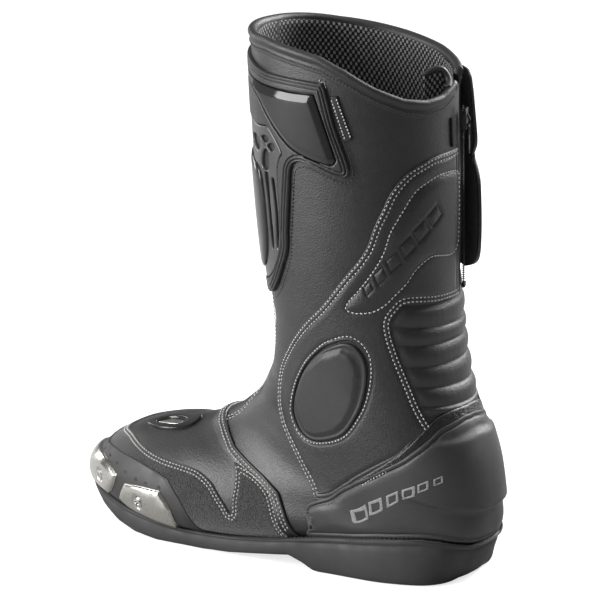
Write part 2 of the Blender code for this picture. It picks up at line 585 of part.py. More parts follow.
def make_sole():
    edge = sole_ring(2)
    s, deg = edge.T
    count = len(edge)
    half = count // 2
    # keep each cross line square to the sole: its middle sits at the same y as its ends
    line_s = np.arange(10.4, 20.5, .02)
    line_y = form(line_s, 180.0)[:, 1]
    rim_in = form(s, deg, 3.0)
    centre_s = np.interp(-rim_in[:, 1], -line_y, line_s)
    rows = []
    for share, off in ((.7, .5), (.4, .5), (.18, .9), (.08, 1.9), (0.0, 3.0)):
        at = s + (centre_s - s) * share
        lift = np.maximum(off, floor_gap(at))
        rows.append(form(at, deg + (180 - deg) * share, lift))
    rim_out = form(s, deg, 5.4)
    level = rim_in[:, 2] + 0.6
    rows.append(np.column_stack([rim_in[:, :2] + (rim_out - rim_in)[:, :2] * .2, level]))
    rows.append(np.column_stack([rim_out[:, :2], level - .4]))
    flat = rim_out[:, :2]
    tangent = np.roll(flat, -1, 0) - np.roll(flat, 1, 0)
    normal = np.column_stack([tangent[:, 1], -tangent[:, 0]])
    normal /= np.linalg.norm(normal, axis=1, keepdims=True)
    if (normal[count // 4] @ (1.0, 0.0)) < 0:
        normal = -normal
    low = sole_bottom(flat[:, 1])
    thick = level - low
    for share, grow in ((.35, 1.0), (.88, .5)):
        rows.append(np.column_stack([flat + normal * grow, level - thick * share]))
    for inset, lift in ((1.6, 0.0), (12.0, 0.0)):
        at = flat - normal * inset
        rows.append(np.column_stack([at, sole_bottom(at[:, 1]) + lift]))
    middle = np.column_stack([np.full(count, -1.0), flat[:, 1]])
    middle[:, 1] = np.clip(middle[:, 1], flat[half, 1] + 22, flat[0, 1] - 22)
    rows.append(np.column_stack([middle, sole_bottom(middle[:, 1])]))
    top_mid = form(centre_s, 180.0, floor_gap(centre_s))
    rows.insert(0, top_mid)
    for line in (rows[0], rows[-1]):
        for j in range(1, half):
            both = (line[j] + line[count - j]) / 2
            line[j] = line[count - j] = both
    points = np.concatenate(rows)
    faces = grid_faces(len(rows), count, True)
    return mesh_object("outsole", "rubber_sole", points, faces)


make_sole()

# ---------------------------------------------------------------- shaft: inside


def below_rim(gap):
    return lambda deg, off: rim_at(deg) + gap


shell("lining_shaft", "mesh_lining", ROUND_COARSE, below_rim(.33), shaft_cut, LINING, 6, wrap=True)
panel("shin_pad", "foam",
      rounded([(.75, 0), (.75, 30), (.9, 50), (2.0, 55), (3.2, 48), (3.9, 30), (4.1, 0), (3.9, -30),
               (3.2, -48), (2.0, -55), (.9, -50), (.75, -30)]), PADDING, step=(.5, 10))
panel("calf_pad_lateral", "foam",
      rounded([(1.0, 120), (1.1, 150), (1.4, 170), (2.4, 172), (3.4, 168), (3.7, 150), (3.4, 125),
               (2.2, 112)]), PADDING, step=(.5, 10))

# ------------------------------------------------------------ shaft: outer skin
LATERAL_UP = spread(SEAM, ZIP_DEG - ZIP_HALF_DEG, 9.5)
MEDIAL_UP = spread(ZIP_DEG + ZIP_HALF_DEG, 360 - SEAM, 9.5)
shell("quarter_lateral_upper", "leather", LATERAL_UP, below_rim(.33), shaft_cut, SKIN, 8)
shell("quarter_medial_upper", "leather", MEDIAL_UP, below_rim(.33), shaft_cut, SKIN, 8)
calf = [(1.72, 193, 1), (1.7, 180), (1.74, 166), (1.9, 154.5), (2.2, 146), (2.55, 140.5),
        (2.9, 135.5), (3.25, 131), (3.53, 125.5), (3.72, 120)]
cut_back = cut_line(114, 193, .5, True, 8)
calf_loop = calf + [(s - .02, d, 1) for s, d, _ in cut_back]
panel("calf_overlay_lateral", "leather", rounded(calf_loop, 2), OVERLAY, step=(.32, 9))
panel("calf_overlay_medial", "rubber_grip",
      rounded([(2.3, 236, 1), (2.25, 250), (2.3, 270), (2.55, 283, 1), (3.2, 284), (3.7, 276),
               (3.78, 256), (3.6, 240, 1), (3.0, 235)]), OVERLAY, step=(.32, 9))
PATCH_LOOP = [(2.0, 186, 1), (1.98, 176), (2.05, 165.5), (2.2, 157), (2.5, 150), (2.9, 143), (3.27, 139),
              (3.6, 133.5), (3.75, 130), (3.8, 137), (3.78, 146), (3.7, 152), (3.55, 156.5),
              (3.4, 162), (3.3, 169), (3.3, 180), (3.3, 186, 1)]
panel("calf_patch", "leather", rounded(PATCH_LOOP, 2), PATCH, step=(.32, 9))

# ------------------------------------------------------------- shaft: shin guard
FRAME_OUT = [(.64, 30), (.70, 57), (.61, 80), (.52, 102), (.55, 107.5), (1.2, 113.5), (1.83, 121),
             (2.02, 119.5), (2.03, 113), (1.93, 97), (1.86, 84), (1.95, 75.5), (2.3, 70), (2.8, 68.5),
             (3.3, 68), (3.7, 62), (4.0, 52), (4.12, 42), (4.05, 34, 1)]
SHIELD_IN = [(.92, 0), (.92, 30), (.95, 57), (.86, 80), (.76, 100, 1), (1.25, 107), (1.75, 113, 1),
             (1.82, 106), (1.72, 92), (1.62, 80), (1.55, 70), (1.5, 50), (1.62, 25), (1.68, 0)]
GRILLE_IN = [(1.95, 0), (1.9, 25), (1.86, 50), (2.0, 62), (2.5, 62), (3.2, 61), (3.6, 54),
             (3.88, 40), (3.8, 20), (3.72, 0)]
frame_out = [(.60, 0)] + FRAME_OUT + [(3.95, 20), (3.9, 0), (3.95, -20)] + mirrored(FRAME_OUT)
shield_in = SHIELD_IN + mirrored(SHIELD_IN[1:-1])
grille_in = GRILLE_IN + mirrored(GRILLE_IN[1:-1])
panel("shin_frame", "tpu_black", rounded(frame_out, 2), (0.65, 2.6),
      holes=[rounded(shield_in, 2), rounded(grille_in, 2)], step=(.25, 8))


def shrunk(points, ds, ddeg):
    """An outline drawn in towards its middle by a fixed margin."""
    pts = np.array([p[:2] for p in points], float)
    mid = (pts.min(0) + pts.max(0)) / 2
    span = (pts.max(0) - pts.min(0)) / 2
    k = 1 - np.array([ds, ddeg]) / span
    return [(*(mid + (q - mid) * k), *p[2:]) for q, p in zip(pts, points)]


panel("shin_shield", "shield_gloss", rounded(shrunk(shield_in, .04, 2.0), 2), (0.65, 3.8), step=(.25, 8))
grille_top = [(1.99, 0), (1.94, 24), (1.91, 48), (2.06, 59), (2.55, 59), (2.62, 45), (2.6, 20), (2.58, 0)]
windows = [rounded([(a, d0, 1), (a, d1, 1), (b, d1, 1), (b, d0, 1)], 2)
           for a, b, d0, d1 in ((2.06, 2.26, 5, 22), (2.03, 2.24, 28, 46), (2.33, 2.5, 5, 24),
                                (2.31, 2.48, 30, 50), (2.06, 2.26, -22, -5), (2.03, 2.24, -46, -28),
                                (2.33, 2.5, -24, -5), (2.31, 2.48, -50, -30))]
panel("shin_grille", "satin_grey", rounded(grille_top + mirrored(grille_top[1:-1]), 2), (0.5, 2.3),
      holes=windows, step=(.2, 8))
plate = [(2.66, 0), (2.68, 22), (2.70, 46), (2.68, 58), (3.15, 57.5), (3.52, 51), (3.8, 38), (3.74, 19),
         (3.66, 0)]
panel("shin_plate", "satin_grey", rounded(plate + mirrored(plate[1:-1]), 2), (0.5, 2.0), step=(.25, 8))

# --------------------------------------------------- shaft: collar, tab and zip


def make_collar():
    degs = spread(ZIP_DEG + ZIP_HALF_DEG - 360 + .5, ZIP_DEG - ZIP_HALF_DEG - .5, 10)
    loop = ((.28, .9), (.16, 1.7), (.03, 1.9), (-.07, .9), (-.12, -1.5), (-.10, -4.2), (-.02, -6.2),
            (.12, -6.9), (.26, -6.2), (.28, -2.5))
    base = rim_at(degs)
    points = np.concatenate([form(base + ds, degs, off) for ds, off in loop])
    n, m = len(loop), len(degs)
    faces = []
    for i in range(n):
        k = (i + 1) % n
        for j in range(m - 1):
            faces.append([i * m + j, i * m + j + 1, k * m + j + 1, k * m + j])
    faces.append([i * m for i in range(n)])
    faces.append([i * m + m - 1 for i in range(n)][::-1])
    return mesh_object("collar", "leather_soft", points, faces)


make_collar()
panel("side_tab", "rubber_grip", rounded([(.70, 111.5, 1), (.66, 115.5, 1), (1.36, 123.5, 1),
                                          (1.44, 119.5, 1)], 4), (0.5, 1.6), step=(.3, 8))
panel("hook_patch", "velvet", rounded([(1.0, 176, 1), (1.0, 190, 1), (1.6, 190, 1), (1.6, 176, 1)], 3),
      (0.5, 1.3), step=(.32, 9))

zip_top = form(ZIP_TOP_S, ZIP_DEG, ZIP_LIFT)
zip_end = form(ZIP_END_S, ZIP_DEG, ZIP_LIFT)
ZIP_DOWN = (zip_end - zip_top) / np.linalg.norm(zip_end - zip_top)
ZIP_OUT = outward(2.5, ZIP_DEG)
ZIP_OUT = ZIP_OUT - ZIP_DOWN * (ZIP_OUT @ ZIP_DOWN)
ZIP_OUT /= np.linalg.norm(ZIP_OUT)
ZIP_SIDE = np.cross(ZIP_DOWN, ZIP_OUT)
ZIP_LENGTH = float(np.linalg.norm(zip_end - zip_top))
shell("zip_tape", "zip_tape", spread(ZIP_DEG - ZIP_HALF_DEG + 1.0, ZIP_DEG + ZIP_HALF_DEG - 1.0, 4.5),
      below_rim(.33), shaft_cut, (-1.5, -.8), 10)
TEETH_OFF = 0.9
bar("zip_teeth", "zip_tape",
    ((zip_top + zip_end) / 2 + ZIP_OUT * TEETH_OFF, ZIP_SIDE, ZIP_DOWN, ZIP_OUT),
    (4.2, ZIP_LENGTH, 1.4), chamfer=.3)
bar("zip_stop", "steel",
    (zip_end + ZIP_DOWN * 2.4 + ZIP_OUT * (TEETH_OFF + .3), ZIP_SIDE, ZIP_DOWN, ZIP_OUT),
    (6.0, 3.0, 2.0), chamfer=.4)

# --------------------------------------------------------------- zip: slider
SLIDER_AT = zip_top + ZIP_DOWN * 8.0


def make_slider():
    """A channel over the teeth: a roof with a lip down each side."""
    section = ((-4.6, .2), (-2.9, .2), (-2.9, 2.2), (2.9, 2.2), (2.9, .2), (4.6, .2), (4.6, 3.2),
               (3.8, 3.7), (-3.8, 3.7), (-4.6, 3.2))
    points = [SLIDER_AT + ZIP_DOWN * y + ZIP_SIDE * x + ZIP_OUT * z
              for y in (-6.5, 6.5) for x, z in section]
    n = len(section)
    faces = grid_faces(2, n, True) + [list(range(n))[::-1], [n + i for i in range(n)]]
    return mesh_object("zip_slider", "nickel", points, faces, SLIDER_AT)


make_slider()
PULL_HINGE = SLIDER_AT + ZIP_DOWN * 4.5 + ZIP_OUT * 4.7
bar("zip_pull", "nickel", (PULL_HINGE + ZIP_DOWN * 8.0, ZIP_SIDE, ZIP_DOWN, ZIP_OUT),
    (5.0, 18.0, 1.2), origin=PULL_HINGE, chamfer=.3)

# ------------------------------------------------------------ closure flap
HINGE_TOP = form(1.0, FLAP_HINGE_DEG, 1.6)
HINGE_END = form(4.0, FLAP_HINGE_DEG, 1.6)
HINGE_AXIS = (HINGE_TOP - HINGE_END) / np.linalg.norm(HINGE_TOP - HINGE_END)
# closed flap across the back: angle round the shaft, height off the form
FLAP_LINE = ((229.4, 2.4), (224.1, 3.1), (219.2, 3.8), (214.5, 4.7), (209.9, 5.6), (205.5, 6.5),
             (201.2, 7.5), (196.9, 8.6), (192.6, 9.8))
FLAP_COLS = 7
# free edge by height: ring, share of the width that is there
FLAP_RINGS = ((.45, .46), (.57, .6), (.85, .7), (1.3, .78), (1.62, .82), (1.78, .74), (1.95, .44),
              (2.12, .74), (2.3, .88), (2.8, .95), (3.3, 1.0), (3.6, 1.0), (3.75, .88), (3.88, .66),
              (4.0, .4))


def turn_about(points, origin, axis, degrees):
    a = math.radians(degrees)
    rel = points - origin
    return (origin + rel * math.cos(a) + np.cross(axis, rel) * math.sin(a)
            + np.outer(rel @ axis, axis) * (1 - math.cos(a)))


def flap_layer(lift):
    degs, offs = np.array(FLAP_LINE).T
    walk = np.concatenate([[0], np.cumsum(np.hypot(np.diff(degs), np.diff(offs)))])
    rows = []
    for s, share in FLAP_RINGS:
        at = np.linspace(0, walk[-1] * share, FLAP_COLS)
        rows.append(form(s, np.interp(at, walk, degs), np.interp(at, walk, offs) + lift))
    return turn_about(np.concatenate(rows), HINGE_END, HINGE_AXIS, FLAP_OPEN_DEG)


def make_plate(name, slot, low, high, origin):
    inner, outer = flap_layer(low), flap_layer(high)
    rows, cols = len(FLAP_RINGS), FLAP_COLS
    second = rows * cols
    faces = grid_faces(rows, cols, False) + grid_faces(rows, cols, False, second, flip=True)
    rim = ([j for j in range(cols)] + [i * cols + cols - 1 for i in range(1, rows)]
           + [(rows - 1) * cols + j for j in range(cols - 2, -1, -1)]
           + [i * cols for i in range(rows - 2, 0, -1)])
    for a, b in zip(rim, rim[1:] + rim[:1]):
        faces.append([b, a, second + a, second + b])
    return mesh_object(name, slot, np.concatenate([outer, inner]), faces, origin)


make_plate("closure_flap", "leather", .9, 2.6, HINGE_END)
make_plate("flap_velvet", "velvet", 0.0, .5, HINGE_END)
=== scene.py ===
"""Looks of the left race boot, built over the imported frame.

Lengths are in millimetres of the boot's own chart until world() turns them
into metres of the frame.  A place on the boot is (s, deg): s counts rings from
the top of the shaft (0) to the toe tip (21), deg goes round the ring from the
front (0) by the outer side (90) to the heel (180) and the inner side (270).
"""
import math

import bmesh
import bpy
import numpy as np
from mathutils import Matrix, Vector
from mathutils.geometry import delaunay_2d_cdt
from mathutils.kdtree import KDTree

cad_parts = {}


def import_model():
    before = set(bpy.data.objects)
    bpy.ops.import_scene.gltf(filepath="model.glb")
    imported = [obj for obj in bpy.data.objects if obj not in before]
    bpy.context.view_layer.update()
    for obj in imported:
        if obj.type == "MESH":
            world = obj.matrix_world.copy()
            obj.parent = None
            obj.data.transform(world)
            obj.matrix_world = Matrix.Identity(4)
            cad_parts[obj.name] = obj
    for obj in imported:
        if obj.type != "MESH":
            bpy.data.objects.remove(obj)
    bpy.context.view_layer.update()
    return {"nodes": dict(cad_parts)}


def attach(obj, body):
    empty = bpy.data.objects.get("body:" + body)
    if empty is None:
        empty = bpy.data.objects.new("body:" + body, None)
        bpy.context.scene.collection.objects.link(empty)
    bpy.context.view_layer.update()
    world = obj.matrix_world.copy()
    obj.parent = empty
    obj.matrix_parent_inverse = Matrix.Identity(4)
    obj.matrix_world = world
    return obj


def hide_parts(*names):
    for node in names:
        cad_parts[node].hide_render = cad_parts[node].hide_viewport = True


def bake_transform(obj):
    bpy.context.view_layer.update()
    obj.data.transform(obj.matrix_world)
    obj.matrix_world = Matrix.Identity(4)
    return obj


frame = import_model()
SHIFT = np.array((0.0, 45.2, 0.0))

# front y, z   back y, z   half widths   centre x   share   roundness front, back
STATIONS = (
    (-38.5, 349.0, 90.0, 319.0, 56.0, 56.0, 0.0, .50, 2.2, 2.2),
    (-39.5, 317.0, 88.0, 287.0, 56.0, 56.0, 0.0, .50, 2.2, 2.2),
    (-40.0, 279.0, 87.5, 251.0, 55.5, 55.5, 0.0, .50, 2.2, 2.2),
    (-40.0, 242.0, 86.5, 216.0, 54.0, 54.0, 0.0, .50, 2.2, 2.2),
    (-39.5, 207.0, 84.0, 181.0, 51.0, 51.0, 0.0, .50, 2.2, 2.2),
    (-37.5, 175.5, 85.0, 147.5, 48.0, 48.0, 0.0, .50, 2.2, 2.3),
    (-38.0, 149.5, 90.0, 118.5, 46.0, 46.0, 0.0, .50, 2.2, 2.3),
    (-41.5, 130.0, 98.5, 93.5, 45.0, 45.0, 0.0, .50, 2.2, 2.3),
    (-48.5, 116.5, 106.0, 71.0, 44.0, 44.0, 0.0, .52, 2.2, 2.3),
    (-57.0, 106.0, 108.5, 49.0, 42.5, 42.5, 0.0, .54, 2.1, 2.4),
    (-66.5, 97.5, 108.5, 31.0, 41.5, 41.5, 0.0, .56, 2.1, 2.6),
    (-77.0, 90.0, 99.5, 19.5, 41.0, 41.0, 0.0, .58, 2.1, 2.8),
    (-89.5, 84.5, 71.5, 17.0, 41.0, 40.0, 1.0, .60, 2.1, 3.2),
    (-103.0, 79.5, 31.5, 15.0, 43.5, 41.0, 1.0, .60, 2.2, 3.0),
    (-117.0, 76.0, -17.0, 12.0, 48.5, 44.0, 1.0, .60, 2.2, 3.1),
    (-131.0, 74.0, -62.0, 9.5, 52.0, 48.0, 0.0, .60, 2.3, 3.2),
    (-146.5, 71.0, -103.0, 9.5, 53.0, 51.0, -1.0, .60, 2.3, 3.2),
    (-161.0, 66.5, -137.0, 13.0, 50.5, 50.0, -3.0, .60, 2.3, 3.2),
    (-174.0, 61.0, -164.0, 18.0, 45.0, 44.0, -6.0, .60, 2.3, 3.1),
    (-185.5, 53.0, -184.5, 24.0, 36.0, 35.0, -8.0, .58, 2.2, 2.8),
    (-196.0, 45.5, -197.0, 30.0, 22.0, 22.0, -10.0, .55, 2.1, 2.4),
    (-203.5, 38.0, -204.0, 36.0, 2.0, 2.0, -11.0, .50, 2.0, 2.0),
)
ROWS = np.array(STATIONS, float)
TOE_TIP = len(STATIONS) - 1
ZIP_DEG, ZIP_HALF_DEG = 201.0, 7.5
ZIP_TOP_S, ZIP_END_S, ZIP_LIFT = 0.95, 4.05, 1.4

RIM = ((-180, .56), (-172, .45), (-165, .35), (-150, .28), (-120, .2), (-90, .2), (-45, .25), (0, .2),
       (45, .12), (60, .03), (90, .0), (104, .0), (120, .14), (137, .38),
       (153, .55), (167, .60), (180, .56))
VAMP_EDGE = ((0, 11.7), (14, 11.95), (26, 12.3), (50, 12.4), (72, 12.6),
             (106, 13.15), (127, 13.5), (180, 14.0))
BUMPER_EDGE = ((0, 18.4), (37, 18.3), (50, 18.15), (58, 17.9), (60.5, 16.9), (63, 15.8), (67, 15.3),
               (72, 15.05), (90, 15.12), (101, 15.2), (111, 15.28), (125, 15.44), (180, 15.6))
SOLE_EDGE = ((10.5, 180), (10.48, 172), (10.46, 164), (10.52, 156), (10.7, 149.5), (11.1, 143),
             (11.7, 138.6), (12.4, 135.8), (13.1, 133.6), (13.7, 131.6), (14.2, 130), (14.7, 128),
             (15.3, 125.5), (15.9, 121.5), (16.5, 116.5), (17.1, 111.5), (17.7, 107.5),
             (18.3, 105), (18.9, 104), (19.5, 104), (20.0, 108), (20.4, 122), (20.6, 150),
             (20.65, 180))
SOLE_BOTTOM = ((-210, 41), (-200, 34), (-188, 25), (-172, 14), (-158, 7), (-143, 2.5), (-125, 0), (-85, 0),
               (-65, 1.2), (-40, 4.5), (-14, 8), (-4, 4.5), (4, .4), (8, 0), (120, 0))


# ------------------------------------------------------------------- the form
def spline(p0, p1, p2, p3, t):
    """Catmull-Rom from p1 (t = 0) to p2 (t = 1)."""
    return 0.5 * (2 * p1 + (p2 - p0) * t + (2 * p0 - 5 * p1 + 4 * p2 - p3) * t ** 2
                  + (3 * p1 - p0 - 3 * p2 + p3) * t ** 3)


def ring(s):
    """The ring's ten measures at s, splined through the stations."""
    s = np.clip(np.asarray(s, float), -0.3, TOE_TIP - 1e-9)
    i = np.clip(np.floor(s).astype(int), 0, TOE_TIP - 1)
    t = (s - i)[..., None]
    last = len(ROWS) - 1
    p0, p1, p2, p3 = (ROWS[np.clip(i + k, 0, last)] for k in (-1, 0, 1, 2))
    p0 = np.where((i == 0)[..., None], 2 * p1 - p2, p0)
    p3 = np.where((i == last - 1)[..., None], 2 * p2 - p1, p3)
    return spline(p0, p1, p2, p3, t)


def bare_form(s, deg):
    """Points on the form itself, in mm."""
    s, deg = np.broadcast_arrays(np.asarray(s, float), np.asarray(deg, float))
    ty, tz, by, bz, wide_out, wide_in, x0, share, n_top, n_bottom = np.moveaxis(ring(s), -1, 0)
    c, d = np.cos(np.radians(deg)), np.sin(np.radians(deg))
    length = np.hypot(ty - by, tz - bz) + 1e-9
    half = np.where(c > 0, share, 1 - share) * length
    wide = np.where(d > 0, wide_out, wide_in)
    power = np.where(c > 0, n_top, n_bottom)
    reach = (np.abs(c / half) ** power + np.abs(d / wide) ** power) ** (-1 / power)
    return np.stack([x0 + reach * d,
                     ty + share * (by - ty) + (ty - by) / length * reach * c,
                     tz + share * (bz - tz) + (tz - bz) / length * reach * c], -1)


def directions(s, deg):
    """Unit outward normal and the two chart tangents, in mm per unit."""
    ds = (bare_form(np.minimum(s + .02, TOE_TIP), deg)
          - bare_form(np.minimum(s + .02, TOE_TIP) - .04, deg))
    dt = bare_form(s, deg + .5) - bare_form(s, deg - .5)
    out = np.cross(ds, dt)
    out /= np.linalg.norm(out, axis=-1, keepdims=True) + 1e-12
    return out, ds / .04, dt


def form(s, deg, off=0.0):
    """Points on the form moved off millimetres outward."""
    s, deg, off = np.broadcast_arrays(*(np.asarray(v, float) for v in (s, deg, off)))
    return bare_form(s, deg) + directions(s, deg)[0] * off[..., None]


def world(points):
    """Millimetres of the chart as metres of the frame."""
    return (np.asarray(points, float) + SHIFT) / 1000.0


def look_up(rows, mirror=False):
    """A function that reads s for a deg from rows of (deg, s)."""
    x, y = np.array(rows, float).T

    def look(value):
        value = (np.asarray(value, float) + 180.0) % 360.0 - 180.0
        return np.interp(np.abs(value) if mirror else value, x, y)
    return look


rim_at = look_up(RIM)
vamp_edge = look_up(VAMP_EDGE, mirror=True)
bumper_edge = look_up(BUMPER_EDGE, mirror=True)


def sole_bottom(y):
    """Height of the sole's underside along the boot."""
    return np.interp(y, *np.array(SOLE_BOTTOM, float).T)


def smooth(a, b, x):
    """Smooth step from 0 at a to 1 at b."""
    t = np.clip((x - a) / (b - a), 0, 1)
    return t * t * (3 - 2 * t)


# -------------------------------------------------------------- chart curves
def metric(path):
    """3D length of small chart steps at each point of a path."""
    _, ds, dt = directions(path[:, 0], path[:, 1])
    return np.stack([np.stack([(ds * ds).sum(-1), (ds * dt).sum(-1)], -1),
                     np.stack([(ds * dt).sum(-1), (dt * dt).sum(-1)], -1)], -1)


def even(path, step, closed=False):
    """The same line with points every step mm."""
    line = np.vstack([path, path[:1]]) if closed else np.asarray(path)
    p = form(line[:, 0], line[:, 1])
    run = np.concatenate([[0], np.cumsum(np.linalg.norm(np.diff(p, axis=0), axis=1))])
    count = max(2, int(round(run[-1] / step)) + (0 if closed else 1))
    at = np.linspace(0, run[-1], count, endpoint=not closed)
    return np.stack([np.interp(at, run, line[:, k]) for k in (0, 1)], -1)


def curve(points, step=1.2, closed=False, per=8):
    """Smooth line through (s, deg) points; a third value marks a corner."""
    flat = [np.array(p[:2], float) for p in points]
    corner = [len(p) > 2 for p in points]
    count = len(flat)
    line = []
    for i in range(count if closed else count - 1):
        a, b, c, d = (flat[(i + k) % count] if closed else flat[min(max(i + k, 0), count - 1)]
                      for k in (-1, 0, 1, 2))
        if corner[i] or (not closed and i == 0):
            a = 2 * b - c
        if corner[(i + 1) % count] or (not closed and i == count - 2):
            d = 2 * c - b
        for t in np.arange(per) / per:
            line.append(spline(a, b, c, d, t))
    if not closed:
        line.append(flat[-1])
    return even(np.array(line), step, closed)


def sideways(path, mm, closed=False):
    """The line moved mm to its left in the (s, deg) plane, measured on the form."""
    if closed:
        t = np.roll(path, -1, 0) - np.roll(path, 1, 0)
    else:
        t = np.gradient(path, axis=0)
    g = metric(path)
    n = np.stack([-t[:, 1], t[:, 0]], -1)
    n = np.linalg.solve(g, n[..., None])[..., 0]
    size = np.sqrt(np.einsum("ni,nij,nj->n", n, g, n)) + 1e-12
    return path + n / size[:, None] * np.asarray(mm, float).reshape(-1, 1)


def mirrored(points):
    """The same points on the other side of the front (0 deg), in reverse order."""
    return [(p[0], -p[1], *p[2:]) for p in points][::-1]


def other_side(points):
    """The same points on the other side of the heel (180 deg), in reverse order."""
    return [(p[0], 360 - p[1], *p[2:]) for p in points][::-1]


def across_front(points, step=1.2):
    """A closed line from its outer half, which starts and ends at the front."""
    return curve(points + mirrored(points[1:-1]), step, closed=True)


def looped(path):
    """A closed line with its first point again at its end."""
    return np.vstack([path, path[:1]])


def scaled_about(points, centre, by_s, by_deg):
    """A closed curve through points moved away from a centre."""
    return curve([(p[0] + (p[0] - centre[0]) * by_s, p[1] + (p[1] - centre[1]) * by_deg)
                  for p in points], closed=True)


def inside(points, loop):
    """Even-odd test of many points against one closed line."""
    x, y = points[:, 0:1], points[:, 1:2]
    x0, y0 = loop[:, 0], loop[:, 1]
    x1, y1 = np.roll(x0, -1), np.roll(y0, -1)
    crosses = ((y0 > y) != (y1 > y)) & (x < (x1 - x0) * (y - y0) / (y1 - y0 + 1e-12) + x0)
    return crosses.sum(1) % 2 == 1


def within(points, loops):
    """Which points lie inside the first closed line and outside the others."""
    good = inside(points, loops[0])
    for loop in loops[1:]:
        good &= ~inside(points, loop)
    return good


def points_tree(points):
    """A search tree for the nearest of some 3D points."""
    tree = KDTree(len(points))
    for i, p in enumerate(points):
        tree.insert(p, i)
    tree.balance()
    return tree


def gap_to(points, line, closed=True):
    """Distance from 3D points to a 3D polyline."""
    tree = points_tree(line)
    near = np.array([tree.find(p)[1] for p in points])
    n = len(line)
    best = np.linalg.norm(points - line[near], axis=1)
    for step in (-1, 1):
        k = near + step
        good = np.ones(len(near), bool) if closed else (k >= 0) & (k < n)
        a, b = line[near], line[k % n]
        ab = b - a
        t = np.clip(((points - a) * ab).sum(1) / ((ab * ab).sum(1) + 1e-12), 0, 1)
        d = np.linalg.norm(points - a - ab * t[:, None], axis=1)
        best = np.where(good, np.minimum(best, d), best)
    return best


# ------------------------------------------------------------------ materials
class Look:
    """A few lines of node building around one Principled shader."""

    def __init__(self, name, metallic=0.0, rough=0.5, **fixed):
        self.mat = bpy.data.materials.new(name)
        self.mat.use_nodes = True
        self.tree = self.mat.node_tree
        self.shader = self.tree.nodes["Principled BSDF"]
        self.shader.inputs["Metallic"].default_value = metallic
        self.shader.inputs["Roughness"].default_value = rough
        for key, value in fixed.items():
            self.shader.inputs[key.replace("_", " ")].default_value = value
        self.coords = self.tree.nodes.new("ShaderNodeTexCoord").outputs["Object"]

    def node(self, kind, inputs=(), **props):
        made = self.tree.nodes.new(kind)
        for key, value in props.items():
            setattr(made, key, value)
        for key, value in dict(inputs).items():
            if hasattr(value, "links"):
                self.tree.links.new(value, made.inputs[key])
            else:
                made.inputs[key].default_value = value
        return made

    def noise(self, scale, detail=3.0, rough=.55, vector=None, distortion=0.0):
        return self.node("ShaderNodeTexNoise", {"Vector": vector or self.coords, "Scale": scale,
                                                "Detail": detail, "Roughness": rough,
                                                "Distortion": distortion}).outputs["Fac"]

    def cells(self, scale, feature="F1", vector=None, randomness=1.0):
        return self.node("ShaderNodeTexVoronoi",
                         {"Vector": vector or self.coords, "Scale": scale, "Randomness": randomness},
                         feature=feature).outputs["Distance"]

    def math(self, operation, a, b=0.0, c=0.0, clamp=False):
        made = self.tree.nodes.new("ShaderNodeMath")
        made.operation = operation
        made.use_clamp = clamp
        for i, value in enumerate((a, b, c)):
            if hasattr(value, "links"):
                self.tree.links.new(value, made.inputs[i])
            else:
                made.inputs[i].default_value = value
        return made.outputs[0]

    def remap(self, value, a, b, c=0.0, d=1.0):
        return self.node("ShaderNodeMapRange", {"Value": value, "From Min": a, "From Max": b,
                                                "To Min": c, "To Max": d}).outputs["Result"]

    def ramp(self, value, *stops):
        made = self.node("ShaderNodeValToRGB", {"Fac": value})
        ends = made.color_ramp.elements
        for i, (at, color) in enumerate(stops):
            stop = ends[i] if i < 2 else ends.new(at)
            stop.position = at
            stop.color = (*color, 1.0)
        return made.outputs["Color"]

    def mix(self, share, a, b):
        made = self.tree.nodes.new("ShaderNodeMix")
        made.data_type = "RGBA"
        for i, value in ((0, share), (6, a), (7, b)):
            if hasattr(value, "links"):
                self.tree.links.new(value, made.inputs[i])
            else:
                made.inputs[i].default_value = value if i == 0 else (*value, 1.0)
        return made.outputs[2]

    def attribute(self, name):
        return self.node("ShaderNodeAttribute", attribute_name=name).outputs["Fac"]

    def color(self, value):
        self.tree.links.new(value, self.shader.inputs["Base Color"])

    def rough(self, value):
        self.tree.links.new(value, self.shader.inputs["Roughness"])

    def bump(self, height, distance, strength=1.0):
        """Adds one more bump on top of those already there."""
        made = self.node("ShaderNodeBump", {"Height": height, "Distance": distance,
                                            "Strength": strength})
        socket = self.shader.inputs["Normal"]
        if socket.is_linked:
            self.tree.links.new(socket.links[0].from_socket, made.inputs["Normal"])
        self.tree.links.new(made.outputs["Normal"], socket)


def grey(v, warm=0.0):
    return (v * (1 + warm), v, v * (1 - warm))


def leather_look(name, dark, light, rough, grain=900, depth=.00016, paler_edge_share=.35):
    look = Look(name, 0.0, rough, Specular_IOR_Level=.42, Coat_Weight=.06, Coat_Roughness=.35)
    broad = look.noise(14, 4)
    fine = look.noise(260, 4, .6)
    pores = look.cells(grain)
    base = look.mix(look.remap(broad, .35, .68), grey(dark), grey(light))
    tint = look.remap(fine, .35, .7, .82, 1.12)
    shade = look.node("ShaderNodeVectorMath", {0: base, 1: tint}, operation="MULTIPLY")
    # the colour turns paler in patches near the edges that the edge attribute marks
    paler_edge = look.math("MULTIPLY", look.attribute("edge"), look.remap(look.noise(420, 3), .4, .65))
    look.color(look.mix(look.math("MULTIPLY", paler_edge, paler_edge_share, clamp=True), shade.outputs[0],
                        grey(light * 2.6)))
    look.rough(look.remap(look.math("ADD", look.math("MULTIPLY", broad, .5),
                                    look.math("MULTIPLY", fine, .5)), .3, .7, rough - .07, rough + .1))
    look.bump(look.math("POWER", pores, .6), depth)
    look.bump(look.noise(2200, 2), depth * .5)
    look.bump(look.noise(70, 3), .0004, .5)
    return look.mat


